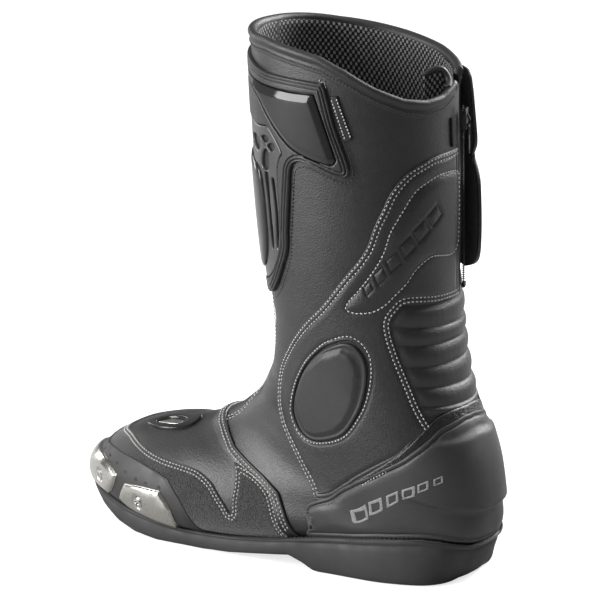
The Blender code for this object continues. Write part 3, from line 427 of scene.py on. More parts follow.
def plain_look(name, dark, light, rough, metallic=0.0, grain=1500, depth=.00006, broad=30, **fixed):
    look = Look(name, metallic, rough, **fixed)
    patch = look.noise(broad, 4)
    look.color(look.mix(look.remap(patch, .35, .68), dark, light))
    look.rough(look.remap(look.noise(broad * 3, 4), .3, .7, rough * .85, min(1.0, rough * 1.18)))
    look.bump(look.noise(grain, 3), depth)
    return look


LEATHER = leather_look("leather_grain", .0115, .018, .42)
LEATHER_SOFT = leather_look("leather_soft_grain", .011, .017, .46, grain=1100)


def suede_look():
    look = Look("suede_nap", 0.0, .95, Specular_IOR_Level=.18, Sheen_Weight=.28, Sheen_Roughness=.5)
    speck = look.noise(1500, 4, .75)
    broad = look.noise(60, 4)
    base = look.mix(look.remap(speck, .46, .58), grey(.006), grey(.085))
    look.color(look.mix(look.remap(broad, .35, .65, 0, .35), base, grey(.016)))
    look.bump(look.noise(1300, 5, .75), .0007)
    look.bump(look.cells(900), .0003)
    return look.mat


SUEDE = suede_look()


def tpu_look(name, dark, light, rough, spec=.4):
    look = plain_look(name, grey(dark), grey(light), rough, grain=2600, depth=.00005,
                      Specular_IOR_Level=spec)
    # the colour turns paler in patches near the edges that the edge attribute marks
    paler_edge = look.math("MULTIPLY", look.attribute("edge"), look.remap(look.noise(300, 3), .35, .6))
    old = look.shader.inputs["Base Color"].links[0].from_socket
    look.color(look.mix(look.math("MULTIPLY", paler_edge, .35, clamp=True), old, grey(light * 2.2)))
    look.bump(look.cells(1400), .00004)
    return look.mat


COUNTER = tpu_look("counter_satin", .024, .031, .5)
CAP_RUBBER = tpu_look("cap_rubber", .02, .027, .5)
BUMPER = tpu_look("bumper_rubber", .009, .013, .45)
SOLE = tpu_look("sole_rubber", .026, .035, .62, .3)
DISC_LOOK = tpu_look("disc_rubber", .016, .021, .45)
FRAME_MAT = tpu_look("frame_tpu", .014, .02, .4)


def binding_look():
    look = Look("binding_cut", 0.0, .32, Specular_IOR_Level=.5)
    chips = look.noise(330, 5, .75, distortion=1.2)
    look.color(look.ramp(chips, (.45, grey(.002)), (.8, grey(.012)), (.6, grey(.004))))
    look.bump(chips, .00035)
    look.bump(look.cells(700), .0001)
    return look.mat


BINDING = binding_look()


def gloss_look():
    look = Look("shield_gloss_look", 0.0, .09, Specular_IOR_Level=.26, Coat_Weight=.08,
                Coat_Roughness=.05)
    look.color(look.mix(look.remap(look.noise(25, 3), .4, .65), grey(.016), grey(.021)))
    look.rough(look.remap(look.noise(220, 3), .3, .7, .07, .15))
    look.bump(look.noise(60, 2), .00006)
    return look.mat


GLOSS = gloss_look()
SATIN = plain_look("satin_paint", grey(.03), grey(.045), .3, grain=3000, depth=.00003,
                   Specular_IOR_Level=.5).mat


def metal_look(name, dark, light, rough, brush=(60, 900, 900)):
    look = Look(name, 1.0, rough)
    stretched = look.node("ShaderNodeMapping", {"Vector": look.coords, "Scale": brush}).outputs[0]
    lines = look.noise(1.0, 4, .6, vector=stretched)
    look.color(look.mix(look.remap(lines, .3, .7), dark, light))
    look.rough(look.remap(look.noise(90, 4), .3, .7, rough * .7, rough * 1.5))
    look.bump(lines, .00003)
    return look.mat


NICKEL = metal_look("bright_alloy", (.4, .39, .36), (.56, .55, .51), .2)
STEEL = metal_look("screw_steel", (.5, .5, .5), (.72, .72, .71), .24)
ZIP_METAL = metal_look("zip_metal", grey(.02), grey(.04), .42)


def thread_look(name, dark, light):
    look = Look(name, 0.0, .7, Specular_IOR_Level=.3, Sheen_Weight=.2)
    look.color(look.mix(look.remap(look.noise(900, 3), .35, .65), dark, light))
    look.bump(look.noise(4000, 2), .0001)
    return look.mat


THREAD = thread_look("thread_light", (.33, .33, .32), (.55, .55, .53))
THREAD_DARK = thread_look("thread_dark", grey(.01), grey(.02))


# millimetres of one repeat of the mesh lining's holes
KNIT_WIDE, KNIT_TALL = 3.2, 4.6


def knit_look():
    """Spacer mesh: upright oval holes in staggered rows, from the chart's own coordinates. The near-black in
    the holes is painted shade and the light grey on the raised yarn between them a painted highlight.
    """
    look = Look("spacer_mesh", 0.0, .75, Specular_IOR_Level=.25, Sheen_Weight=.15)
    uv = look.tree.nodes.new("ShaderNodeTexCoord").outputs["UV"]
    split = look.node("ShaderNodeSeparateXYZ", {"Vector": uv})
    u = look.math("MULTIPLY", split.outputs[0], 1 / KNIT_WIDE)
    v = look.math("MULTIPLY", split.outputs[1], 1 / KNIT_TALL)
    across = look.math("SINE", look.math("MULTIPLY", u, 2 * math.pi))
    along = look.math("SINE", look.math("MULTIPLY", v, 2 * math.pi))
    weave = look.math("MULTIPLY", across, along)
    fuzz = look.math("MULTIPLY", look.math("SUBTRACT", look.noise(1800, 2), .5), .5)
    pillow = look.math("ADD", weave, fuzz)
    lit = look.remap(pillow, .02, .3)
    # near-black is painted shade in the holes, light grey a painted highlight on the raised yarn; the same
    # pattern also sets the bump
    look.color(look.mix(lit, grey(.004), grey(.27)))
    look.bump(lit, .0011)
    return look.mat


KNIT = knit_look()


def cloth_look(name, dark, light, rough=.95, scale=1400, depth=.0003, sheen=.2):
    look = Look(name, 0.0, rough, Specular_IOR_Level=.15, Sheen_Weight=sheen)
    fuzz = look.noise(scale, 4, .7)
    look.color(look.mix(look.remap(fuzz, .4, .62), grey(dark), grey(light)))
    look.bump(fuzz, depth)
    return look.mat


VELVET = cloth_look("velvet_loop", .0035, .009, 1.0, 1600, .0006, .12)
TAPE = cloth_look("zip_tape_weave", .006, .014, .85, 2000, .0002)
FOAM = cloth_look("foam_knit", .05, .08)


def inlay_look():
    look = Look("inlay_print", 0.0, .42, Specular_IOR_Level=.4)
    look.color(look.mix(look.remap(look.noise(700, 3), .35, .65), grey(.17), grey(.23)))
    look.bump(look.noise(2000, 2), .00005)
    return look.mat


INLAY = inlay_look()

# --------------------------------------------------------------- mesh makers
LOOKS = bpy.data.collections.new("looks")
bpy.context.scene.collection.children.link(LOOKS)
# mean millimetres of one degree and of one ring, for the mesh lining's own coordinates
DEG_MM, RING_MM = .92, 32
# millimetres over which the paler colour along an edge fades
PALER_EDGE_MM = .8


def place(obj, body, slot, *stands_for):
    """Rides obj on a body, or for the ankle bakes its transform where it stands, and hides the parts it
    stands for.
    """
    if body == "ankle":
        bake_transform(obj)
    else:
        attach(obj, body)
    if stands_for:
        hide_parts(*stands_for)
    return obj


def subdivided(obj):
    """One round of subdivision, applied."""
    finer = obj.modifiers.new("finer", "SUBSURF")
    finer.levels = finer.render_levels = 1
    mesh = bpy.data.meshes.new_from_object(obj.evaluated_get(bpy.context.evaluated_depsgraph_get()))
    obj.modifiers.remove(finer)
    obj.data = mesh


def enclosed(p, faces):
    """Six times the signed volume inside the faces."""
    volume = 0.0
    sizes = np.array([len(f) for f in faces])
    for n in np.unique(sizes):
        f = np.array([faces[i] for i in np.flatnonzero(sizes == n)])
        for k in range(1, n - 1):
            volume += np.einsum("ij,ij->", p[f[:, 0]], np.cross(p[f[:, k]], p[f[:, k + 1]]))
    return volume


def build(name, points, faces, mat, edge=None, uv=None, sharp=None):
    """A smooth-shaded closed mesh from points in mm."""
    mesh = bpy.data.meshes.new(name)
    mesh.from_pydata(world(points).tolist(), [], [list(map(int, f)) for f in faces])
    p = np.asarray(points)
    if enclosed(p, faces) < 0:
        mesh.flip_normals()
    mark = mesh.attributes.new("edge", "FLOAT", "POINT")
    mark.data.foreach_set("value", np.zeros(len(p)) if edge is None else np.asarray(edge, float))
    if uv is not None:
        layer = mesh.uv_layers.new(name="chart")
        loop_verts = np.zeros(len(mesh.loops), int)
        mesh.loops.foreach_get("vertex_index", loop_verts)
        layer.data.foreach_set("uv", np.asarray(uv, float)[loop_verts].ravel())
    mesh.shade_smooth()
    if sharp:
        mesh.set_sharp_from_angle(angle=math.radians(sharp))
    mesh.materials.append(mat)
    obj = bpy.data.objects.new(name, mesh)
    LOOKS.objects.link(obj)
    return obj


def grid_faces(rows, cols, wrap=False, start=0, flip=False):
    i, j = np.meshgrid(np.arange(rows - 1), np.arange(cols if wrap else cols - 1), indexing="ij")
    k = (j + 1) % cols
    quad = np.stack([i * cols + j, i * cols + k, (i + 1) * cols + k, (i + 1) * cols + j], -1)
    quad = quad.reshape(-1, 4) + start
    return (quad[:, ::-1] if flip else quad).tolist()


def sheet_of(rows, cols):
    """Faces of a thin closed sheet: a grid, its back, and the strip round its edge."""
    second = rows * cols
    rim = (list(range(cols)) + [i * cols + cols - 1 for i in range(1, rows)]
           + [(rows - 1) * cols + j for j in range(cols - 2, -1, -1)]
           + [i * cols for i in range(rows - 2, 0, -1)])
    return (grid_faces(rows, cols) + grid_faces(rows, cols, False, second, flip=True)
            + [[b, a, second + a, second + b] for a, b in zip(rim, rim[1:] + rim[:1])])


def grooves(s, deg, lines):
    """Sewn-in dents: each line is (path, depth, width)."""
    dip = np.zeros(s.shape)
    if not lines:
        return dip
    p = form(s, deg).reshape(-1, 3)
    for path, depth, width in lines:
        q = form(path[:, 0], path[:, 1])
        low, high = q.min(0) - 4 * width, q.max(0) + 4 * width
        near = ((p > low) & (p < high)).all(1)
        if near.any():
            d = gap_to(p[near], q, closed=False)
            flat = dip.reshape(-1)
            flat[near] -= depth * np.exp(-(d / width) ** 2)
    return dip


def skin(name, mat, degs, top, bottom, rows, off, under, wrap=False, tip=False, lines=(),
         relief=None, border=(), uv=False):
    """A closed layer between two ring lines; border rows (mm in, height) roll its top edge."""
    degs = np.asarray(degs, float)
    lo, hi = top(degs), bottom(degs)
    reach = np.linalg.norm(directions(lo, degs)[1], axis=-1)
    s_rows = [lo + d / reach for d, _ in border]
    lift = [np.full(len(degs), h) for _, h in border]
    start = s_rows[-1] if border else lo
    for share in np.linspace(0, 1, rows)[1 if border else 0:]:
        s_rows.append(start + (hi - start) * share)
        lift.append(np.full(len(degs), border[-1][1] if border else 0.0))
    s, lift = np.array(s_rows), np.array(lift)
    d = np.broadcast_to(degs, s.shape)
    height = off + lift + grooves(s, d, lines)
    if relief is not None:
        height = height + relief(s, d)
    count, n = len(degs), len(s)
    outer = form(s, d, height).reshape(-1, 3)
    inner = form(s, d, np.minimum(under, height - .2)).reshape(-1, 3)
    second = n * count
    faces = grid_faces(n, count, wrap) + grid_faces(n, count, wrap, second, flip=True)
    last = (n - 1) * count
    for j in range(count if wrap else count - 1):
        k = (j + 1) % count
        faces.append([j, second + j, second + k, k])
        if not tip:
            faces.append([last + j, last + k, second + last + k, second + last + j])
    if tip:
        faces.append([last + j for j in range(count)])
        faces.append([second + last + j for j in range(count)][::-1])
    if not wrap:
        for i in range(n - 1):
            a, b = i * count, (i + 1) * count
            faces.append([a, b, second + b, second + a])
            a, b = a + count - 1, b + count - 1
            faces.append([a, second + a, second + b, b])
    near_edge = np.zeros(s.shape)
    for i, (mm, _) in enumerate(border):
        near_edge[i] = math.exp(-(mm / PALER_EDGE_MM) ** 2)
    near_edge = np.concatenate([near_edge.ravel(), np.zeros(second)])
    chart = None
    if uv:
        chart = np.stack([d.ravel() * DEG_MM, s.ravel() * RING_MM], -1)
        chart = np.vstack([chart, chart])
    return build(name, np.vstack([outer, inner]), faces, mat, near_edge, chart)


ROLL = ((0, 0), (.12, .55), (.4, .85), (.9, 1.0))


def profile(height, *dips, roll=.9, flat=None):
    """Border of a sewn panel: a rolled edge, then dips (mm in, depth, half width)."""
    rows = [(x * roll / .9, h * height) for x, h in ROLL]
    for at, depth, half in dips:
        rows += [(at - half, height), (at - half * .4, height - depth * .8), (at, height - depth),
                 (at + half * .4, height - depth * .8), (at + half, height)]
    if flat:
        rows.append((flat, height))
    return rows


def wound(loops, edge_step):
    """Closed lines with even points, the first wound one way and its holes the other."""
    turned = []
    for i, line in enumerate(loops):
        x, y = line.T
        area = (x * np.roll(y, -1) - np.roll(x, -1) * y).sum()
        turned.append(even(line if (area > 0) == (i == 0) else line[::-1], edge_step, closed=True))
    return turned


def fill_points(loops, borders, gaps, scale, step, extra):
    """A square grid inside the outline, clear of its borders and of the extra points."""
    low, high = loops[0].min(0) * scale, loops[0].max(0) * scale
    fill = np.stack(np.meshgrid(np.arange(low[0], high[0], step), np.arange(low[1], high[1], step)),
                    -1).reshape(-1, 2) / scale
    fill = fill[inside(fill, loops[0])]
    keep = np.ones(len(fill), bool)
    for gap, rows in zip(gaps(fill), borders):
        keep &= gap > rows[-1][0] + .6 * step
    tree = points_tree(form(extra[:, 0], extra[:, 1]))
    keep &= np.array([tree.find(p)[2] > .55 * step for p in form(fill[:, 0], fill[:, 1])])
    fill = fill[keep]
    return fill[within(fill, loops)]


def triangles(chart, loops, scale):
    """Delaunay triangles between the chart points, kept to the inside of the outline."""
    links, start = [], 0
    for line in loops:
        links += [(start + i, start + (i + 1) % len(line)) for i in range(len(line))]
        start += len(line)
    verts, _, tris, *_ = delaunay_2d_cdt([Vector(p) for p in chart * scale], links, [], 0, 1e-4)
    verts = np.array([tuple(v) for v in verts]) / scale
    tris = np.array([t for t in tris if len(t) == 3])
    tris = tris[within(verts[tris].mean(1), loops)]
    used = np.unique(tris)
    remap = np.full(len(verts), -1)
    remap[used] = np.arange(len(used))
    return verts[used], remap[tris]


def panel(name, mat, loop, border, base=0.0, holes=(), step=2.6, edge_step=1.3, under=-.5,
          lines=(), relief=None, sharp=None):
    """A closed raised layer cut to an outline, its height set by the distance from its edges."""
    loops = wound([np.asarray(loop)] + [np.asarray(h) for h, _ in holes], edge_step)
    borders = [np.array(rows, float) for rows in [border] + [b for _, b in holes]]
    _, ds, dt = directions(loops[0][:, 0], loops[0][:, 1])
    scale = np.array([np.linalg.norm(ds, axis=-1).mean(), np.linalg.norm(dt, axis=-1).mean()])
    rims = [form(line[:, 0], line[:, 1]) for line in loops]

    def gaps(chart):
        p = form(chart[:, 0], chart[:, 1])
        return [gap_to(p, rim) for rim in rims]

    # points along every change of height: the border's rows and the pressed lines
    extra = []
    for line, rows, rim in zip(loops, borders, rims):
        for d, _ in rows[1:]:
            moved = sideways(line, d, closed=True)
            clear = gap_to(form(moved[:, 0], moved[:, 1]), rim) > .9 * d
            extra.append(moved[clear])
    for path, _, width in lines:
        for d in (-1.5 * width, -.6 * width, 0, .6 * width, 1.5 * width):
            extra.append(sideways(path, d))
    extra = np.concatenate(extra)
    fill = fill_points(loops, borders, gaps, scale, step, extra)
    extra = extra[within(extra, loops)]
    extra = extra[np.min(gaps(extra), axis=0) > .08]
    verts, tris = triangles(np.concatenate(loops + [extra, fill]), loops, scale)
    s, deg = verts.T
    away = gaps(verts)
    high = np.min([np.interp(g, rows[:, 0], rows[:, 1]) for g, rows in zip(away, borders)], axis=0)
    floor = base(s, deg) if callable(base) else base
    high = high + grooves(s, deg, lines)
    if relief is not None:
        high = high + relief(s, deg)
    points = np.vstack([form(s, deg, floor + high), form(s, deg, floor + under + 0 * high)])
    count = len(verts)
    faces = tris.tolist() + (tris[:, ::-1] + count).tolist()
    # an edge used in one direction only is on the outline
    edges = {e: True for a, b, c in tris.tolist() for e in ((a, b), (b, c), (c, a))}
    faces += [[b, a, count + a, count + b] for a, b in edges if (b, a) not in edges]
    near = np.exp(-(np.min(away, axis=0) / PALER_EDGE_MM) ** 2)
    return build(name, points, faces, mat, np.concatenate([near, 0 * near]), sharp=sharp)


def dashes(lines, pitch=2.75, length=2.05, radius=.36):
    """Sewing thread: short bowed stitches along 3D lines given as (points, normals)."""
    points, faces = [], []
    bow = np.array([-.34, .1, .24, .1, -.34])
    girth = np.array([.55, 1.0, 1.06, 1.0, .55]) * radius
    turn = np.arange(6) * math.pi / 3
    cap = [(0, 1, 2, 5), (2, 3, 4, 5)]
    for p, out in lines:
        run = np.concatenate([[0], np.cumsum(np.linalg.norm(np.diff(p, axis=0), axis=1))])
        count = int(run[-1] // pitch)
        if count < 1:
            continue
        first = (run[-1] - count * pitch) / 2 + pitch / 2
        for k in range(count):
            at = first + k * pitch + length * np.linspace(-.5, .5, 5)
            core = np.stack([np.interp(at, run, p[:, i]) for i in range(3)], -1)
            n = np.stack([np.interp(at, run, out[:, i]) for i in range(3)], -1)
            n /= np.linalg.norm(n, axis=1, keepdims=True)
            t = core[-1] - core[0]
            t /= np.linalg.norm(t) + 1e-9
            side = np.cross(t, n)
            core = core + n * bow[:, None] * radius / .36
            loop = (core[:, None] + girth[:, None, None]
                    * (side[:, None] * np.cos(turn)[None, :, None] * 1.15
                       + n[:, None] * np.sin(turn)[None, :, None] * .8))
            start = len(points) * 30
            points.append(loop.reshape(-1, 3))
            faces += grid_faces(5, 6, True, start)
            faces += [[start + i for i in c[::-1]] for c in cap]
            faces += [[start + 24 + i for i in c] for c in cap]
    return np.concatenate(points), faces


def sew(name, body, rows, mat=THREAD, slot="leather", pitch=2.75, length=2.05, radius=.36):
    """One object of stitches along chart paths, each row (path, off)."""
    lines = []
    for path, off in rows:
        path = even(path, 1.0)
        out = directions(path[:, 0], path[:, 1])[0]
        lines.append((form(path[:, 0], path[:, 1], off), out))
    points, faces = dashes(lines, pitch, length, radius)
    return place(build(name, points, faces, mat), body, slot)


def tube(path, radius, sides=10, closed=False):
    """Points and faces of a round tube along 3D points."""
    p = np.asarray(path, float)
    t = np.roll(p, -1, 0) - np.roll(p, 1, 0) if closed else np.gradient(p, axis=0)
    t /= np.linalg.norm(t, axis=1, keepdims=True) + 1e-12
    up = np.array([0.0, 0.0, 1.0])
    side = np.cross(t, up)
    side /= np.linalg.norm(side, axis=1, keepdims=True) + 1e-9
    other = np.cross(side, t)
    turn = np.arange(sides) * 2 * math.pi / sides
    r = np.broadcast_to(np.asarray(radius, float), (len(p),))
    loop = p[:, None] + r[:, None, None] * (side[:, None] * np.cos(turn)[None, :, None]
                                            + other[:, None] * np.sin(turn)[None, :, None])
    faces = []
    n = len(p)
    for i in range(n if closed else n - 1):
        for j in range(sides):
            a, b = i * sides, ((i + 1) % n) * sides
            k = (j + 1) % sides
            faces.append([a + j, a + k, b + k, b + j])
    if not closed:
        faces.append(list(range(sides))[::-1])
        faces.append([(n - 1) * sides + j for j in range(sides)])
    return loop.reshape(-1, 3), faces


def joined(parts):
    """Several (points, faces) sets as one."""
    points, faces, start = [], [], 0
    for p, f in parts:
        points.append(np.asarray(p))
        faces += [[start + i for i in face] for face in f]
        start += len(p)
    return np.concatenate(points), faces


def disc_shape(centre, axis, rings, count=28):
    """A solid of revolution; rings are (height, radius)."""
    axis = np.asarray(axis) / np.linalg.norm(axis)
    side = np.cross(axis, (0.0, 0.0, 1.0))
    side /= np.linalg.norm(side)
    up = np.cross(axis, side)
    a = np.arange(count) * 2 * math.pi / count
    around = side * np.cos(a)[:, None] + up * np.sin(a)[:, None]
    points = np.concatenate([centre + axis * h + r * around for h, r in rings])
    faces = grid_faces(len(rings), count, True)
    faces += [list(range(count))[::-1], [(len(rings) - 1) * count + i for i in range(count)]]
    return points, faces


# ---------------------------------------------------------------- the leather
def steps(a, b, step):
    """Even values from a to b, about step apart."""
    return np.linspace(a, b, max(2, int(round((b - a) / step)) + 1))


# millimetres from a seam to the rows of stitches beside it
SEAM_ROW = 1.25


def seam_rows(*seams):
    """Two rows of stitches along each seam."""
    return [(sideways(seam, mm), 1.2) for seam in seams for mm in (SEAM_ROW, -SEAM_ROW)]


def ring_line(s):
    """A border that stays on ring s all the way round."""
    return lambda degs: 0 * degs + s


INSTEP_SEAM = curve([(11.9, 10), (11.0, 9), (10.1, 8), (8.85, 8), (7.7, 12), (6.6, 20), (5.4, 27),
                     (4.45, 31)])
S_CURVE = curve([(1.66, 193.5), (1.68, 173.5), (1.75, 164.5), (1.90, 154.5), (2.20, 146), (2.55, 140.5),
                 (2.88, 135.5), (3.23, 131.5), (3.53, 125.5), (3.78, 119), (4.48, 99.5), (5.13, 76),
                 (5.85, 55.5), (6.70, 40), (7.73, 33.5), (8.85, 33.5), (9.65, 39.5), (10.57, 52),
                 (11.30, 70), (11.55, 77)])
S_CURVE_IN = curve([(4.3, -151.5), (4.02, -141), (3.95, -131), (4.05, -119), (4.48, -99.5), (5.13, -76),
                    (5.85, -55.5), (6.70, -40), (7.73, -33.5), (8.85, -33.5), (9.65, -39.5),
                    (10.57, -52), (11.30, -70), (11.55, -77)])
REAR_SEAM = curve([(7.0, 155.5), (6.50, 151), (5.85, 147), (5.13, 141.5), (4.78, 139.3), (4.52, 139.3),
                   (4.30, 143.5), (4.10, 151.5), (4.12, 172), (4.15, 193.5)])
LEAF = curve([(1.98, 190), (1.93, 176), (2.02, 165.5), (2.18, 157), (2.50, 150), (2.88, 143), (3.27, 139),
              (3.60, 133.5), (3.98, 125), (4.27, 117), (4.43, 114.5), (4.46, 120.5), (4.38, 131),
              (4.22, 139), (4.02, 145), (3.80, 151.5), (3.57, 156.5), (3.42, 162), (3.34, 169),
              (3.40, 183), (3.3, 190), (3.05, 191.5), (2.17, 193)], closed=True)
DISC = [(5.3, 100), (5.14, 112), (5.24, 120.5), (5.58, 124), (6.24, 120.5), (7.0, 111.5), (7.88, 94),
        (8.54, 71.5), (8.86, 56), (8.68, 48), (8.0, 46), (7.04, 54), (6.2, 68), (5.6, 86)]


def ankle_creases(s, deg):
    """Broad soft folds where the leather bends over the instep and behind the ankle."""
    turn = (deg + 180) % 360 - 180
    front = np.exp(-((s - 6.3) / 2.4) ** 2) * np.exp(-(turn / 62) ** 2)
    waves = np.sin(s * 4.1 + .6 * np.sin(turn / 17)) + .6 * np.sin(s * 7.3 + turn / 21 + 1.3)
    broad = np.sin(s * 1.9 + turn / 33) * np.sin(turn / 24 + 1.1)
    return .34 * front * waves + .3 * broad * smooth(1.2, 3.0, s)


def shaft_rim(gap):
    return lambda degs: rim_at(degs) + gap


UPPER_DEGS = steps(ZIP_DEG + ZIP_HALF_DEG, 360 + ZIP_DEG - ZIP_HALF_DEG, 2.2)
front_seam = np.concatenate([INSTEP_SEAM, curve([(4.45, 31), (4.0, 34.5)])[1:]])
upper_seam = front_seam + (0, 360)
upper = skin("upper_leather", LEATHER, UPPER_DEGS, shaft_rim(.2), lambda d: vamp_edge(d) + .12, 190,
             0.0, -1.4, relief=ankle_creases,
             lines=[(sideways(upper_seam, 1.3), .35, .8), (sideways(upper_seam, -1.3), .35, .8),
                    (sideways(upper_seam, 3.2), .7, .6)])
place(upper, "ankle", "leather", "quarter_lateral_lower", "quarter_lateral_upper",
      "quarter_medial_lower", "quarter_medial_upper")
sew("instep_stitching", "ankle", [(sideways(front_seam, 1.3), -.05), (sideways(front_seam, -1.3), -.05)])

# ------------------------------------------------- overlays sewn on the outside
overlay_edge = sideways(S_CURVE, -2.5)
under_binding = curve([(11.75, 84), (10.7, 86), (9.8, 98), (9.2, 110), (8.5, 125.5), (7.9, 138.5),
                       (7.35, 147), (7.0, 154.5)])
rear_edge = sideways(REAR_SEAM, -2.5)
overlay_loop = np.vstack([overlay_edge, under_binding, rear_edge])
DISC_CENTRE = (7.0, 86)
ring_hole = scaled_about(DISC, DISC_CENTRE, .03, .05)
ring_stitch = scaled_about(DISC, DISC_CENTRE, .09, .095)

LOZENGES = ((2.62, 168.5, .19, 5.2), (2.86, 160.0, .2, 5.0), (3.12, 152.0, .2, 4.6),
            (3.40, 144.5, .19, 4.2), (3.68, 137.2, .17, 3.7), (3.94, 130.2, .14, 3.0))


def lozenge(s, deg, ds, dd, skew=.35):
    """A slanted diamond, generic decoration."""
    return curve([(s - ds, deg + dd * skew, 1), (s, deg - dd, 1), (s + ds, deg - dd * skew, 1),
                  (s, deg + dd, 1)], step=.6, closed=True)


leaf_rim = form(LEAF[:, 0], LEAF[:, 1])


def leaf_puff(s, deg):
    """The sewn-round leaf panel stands a little proud, like light padding."""
    chart = np.stack([s.ravel(), deg.ravel()], -1)
    within = inside(chart, LEAF)
    puff = np.zeros(len(chart))
    if within.any():
        p = form(chart[within, 0], chart[within, 1])
        puff[within] = 1.15 * smooth(0, 6.5, gap_to(p, leaf_rim))
    return puff.reshape(s.shape) + .35 * ankle_creases(s, deg)


closed_leaf = looped(LEAF)
leaf_lines = [(closed_leaf, .5, .75)]
for spot in LOZENGES:
    leaf_lines.append((looped(lozenge(*spot)), .75, .55))
SEWN = profile(1.5, (1.25, .38, .6), (3.75, .38, .6), flat=7)
ring_rows = [(0, -.2), (.15, .6), (.5, 1.15), (1.0, 1.4), (1.7, 1.3), (2.4, 1.0), (3.1, 1.35), (4.5, 1.5)]
outside = panel("overlay_outside", LEATHER, overlay_loop, SEWN, holes=[(ring_hole, ring_rows)], step=2.2,
                lines=leaf_lines, relief=leaf_puff, under=-.3)
place(outside, "ankle", "leather", "calf_overlay_lateral", "calf_patch", "ankle_overlay_lateral")
sew("overlay_outside_stitching", "ankle", seam_rows(S_CURVE, REAR_SEAM))
sew("leaf_stitching", "ankle", [(closed_leaf, 1.25)])
sew("disc_stitching", "foot", [(looped(ring_stitch), 1.25)])

inner_edge = sideways(S_CURVE_IN, 2.5)
rear_in = curve([(7.0, 204.5), (6.50, 209), (5.85, 213), (5.13, 218.5), (4.78, 220.7), (4.52, 220.7),
                 (4.36, 215)]) - (0, 360)
rear_in_edge = sideways(rear_in, 2.5)
inner_loop = np.vstack([inner_edge, (under_binding * (1, -1)), rear_in_edge])
medial = panel("overlay_inside", LEATHER, inner_loop, SEWN, holes=[(ring_hole * (1, -1), ring_rows)],
               step=2.6, relief=lambda s, d: .35 * ankle_creases(s, d), under=-.3)
place(medial, "ankle", "leather", "ankle_overlay_medial")
sew("overlay_inside_stitching", "ankle", seam_rows(S_CURVE_IN, rear_in))
sew("disc_inside_stitching", "foot", [(looped(ring_stitch * (1, -1)), 1.25)])


def dished(lift):
    """A raised oval on the ankle disc, set towards the front, with a wide slope behind it."""
    outline = np.array(DISC, float)
    loop = curve(outline.mean(0) + (outline - outline.mean(0)) * .86 - (.02, 1.5), closed=True)

    def relief(s, deg):
        turn = np.abs(deg)
        chart = np.stack([s.ravel(), turn.ravel()], -1)
        rim = form(loop[:, 0], loop[:, 1])
        far = gap_to(form(chart[:, 0], chart[:, 1]), rim)
        far = np.where(inside(chart, loop), -far, far).reshape(s.shape)
        wide = 1.0 + 1.0 * smooth(80, 118, turn)
        return lift * (1 - smooth(-.6, 1.0, far / wide * 1.6))
    return relief


DISC_ROWS = [(0, -.3), (.12, .9), (.4, 1.35), (.9, 1.6), (1.5, 1.6), (2.2, 1.35), (3.0, 1.3), (5, 1.3)]
disc = panel("ankle_disc_outside", DISC_LOOK, curve(DISC, closed=True), DISC_ROWS,
             base=.4, step=1.7, relief=dished(1.9))
place(disc, "foot", "tpu_black", "ankle_disc_lateral")
disc_in = panel("ankle_disc_inside", DISC_LOOK, curve(mirrored(DISC), closed=True), DISC_ROWS,
                base=.2, step=2.2, relief=dished(.9))
place(disc_in, "foot", "rubber_grip", "ankle_disc_medial")

# --------------------------------------------------- bellows behind the ankle
# s of each sewn channel at its outer and its inner end
CHANNELS = ((4.22, 4.22), (4.60, 4.66), (4.95, 4.97), (5.40, 5.38), (5.84, 5.88), (6.29, 6.33), (6.74, 6.66),
            (7.15, 7.0))
CHANNEL_START, CHANNEL_RUN = 148, 44
channel_at = np.array(CHANNELS)
PLEAT_RISE, PLEAT_BED = 2.1, .25
# the edge of the opening, s and deg, under which the pleats die out
OPENING_S = (4.3, 4.52, 4.78, 5.13, 5.85, 6.5, 7.0)
OPENING_DEG = (143.5, 139.3, 139.3, 141.5, 147, 151, 155.5)


def bellows_height(s, deg):
    """Rounded pleats between sewn channels, dying out under the seams around them."""
    turn = np.clip((deg - CHANNEL_START) / CHANNEL_RUN, 0, 1)
    rows = channel_at[:, 0][:, None, None] + (channel_at[:, 1] - channel_at[:, 0])[:, None, None] * turn
    k = np.clip((s[None] >= rows).sum(0) - 1, 0, len(CHANNELS) - 2)
    lo = np.take_along_axis(rows, k[None], 0)[0]
    hi = np.take_along_axis(rows, k[None] + 1, 0)[0]
    phase = np.clip((s - lo) / (hi - lo), 0, 1)
    inward = 180 - np.abs(deg - 180) - np.interp(s, OPENING_S, OPENING_DEG)
    ends = smooth(2.0, 8.5, inward) * smooth(4.18, 4.34, s) * smooth(6.52, 6.36, s)
    swelling = np.sin(math.pi * phase) ** .7
    pull = .07 * np.sin(deg * 1.3 + k * 2.1) * np.sin(math.pi * phase)
    return PLEAT_BED + (PLEAT_RISE * swelling + pull) * ends


bellows = skin("bellows", LEATHER_SOFT, steps(138.5, 221.5, 1.8), ring_line(4.2), ring_line(7.1), 92,
               0.0, -.9, relief=bellows_height)
subdivided(bellows)
place(bellows, "ankle", "leather_soft", "rear_stretch")
channel_degs = steps(153, 207, 2)
channel_turn = np.clip((channel_degs - CHANNEL_START) / CHANNEL_RUN, 0, 1)
channel_rows = [(np.stack([lo + (hi - lo) * channel_turn, channel_degs], -1), .4)
                for lo, hi in CHANNELS[1:-2]]
sew("bellows_stitching", "ankle", channel_rows, mat=THREAD_DARK, pitch=2.4, length=1.7, radius=.3)

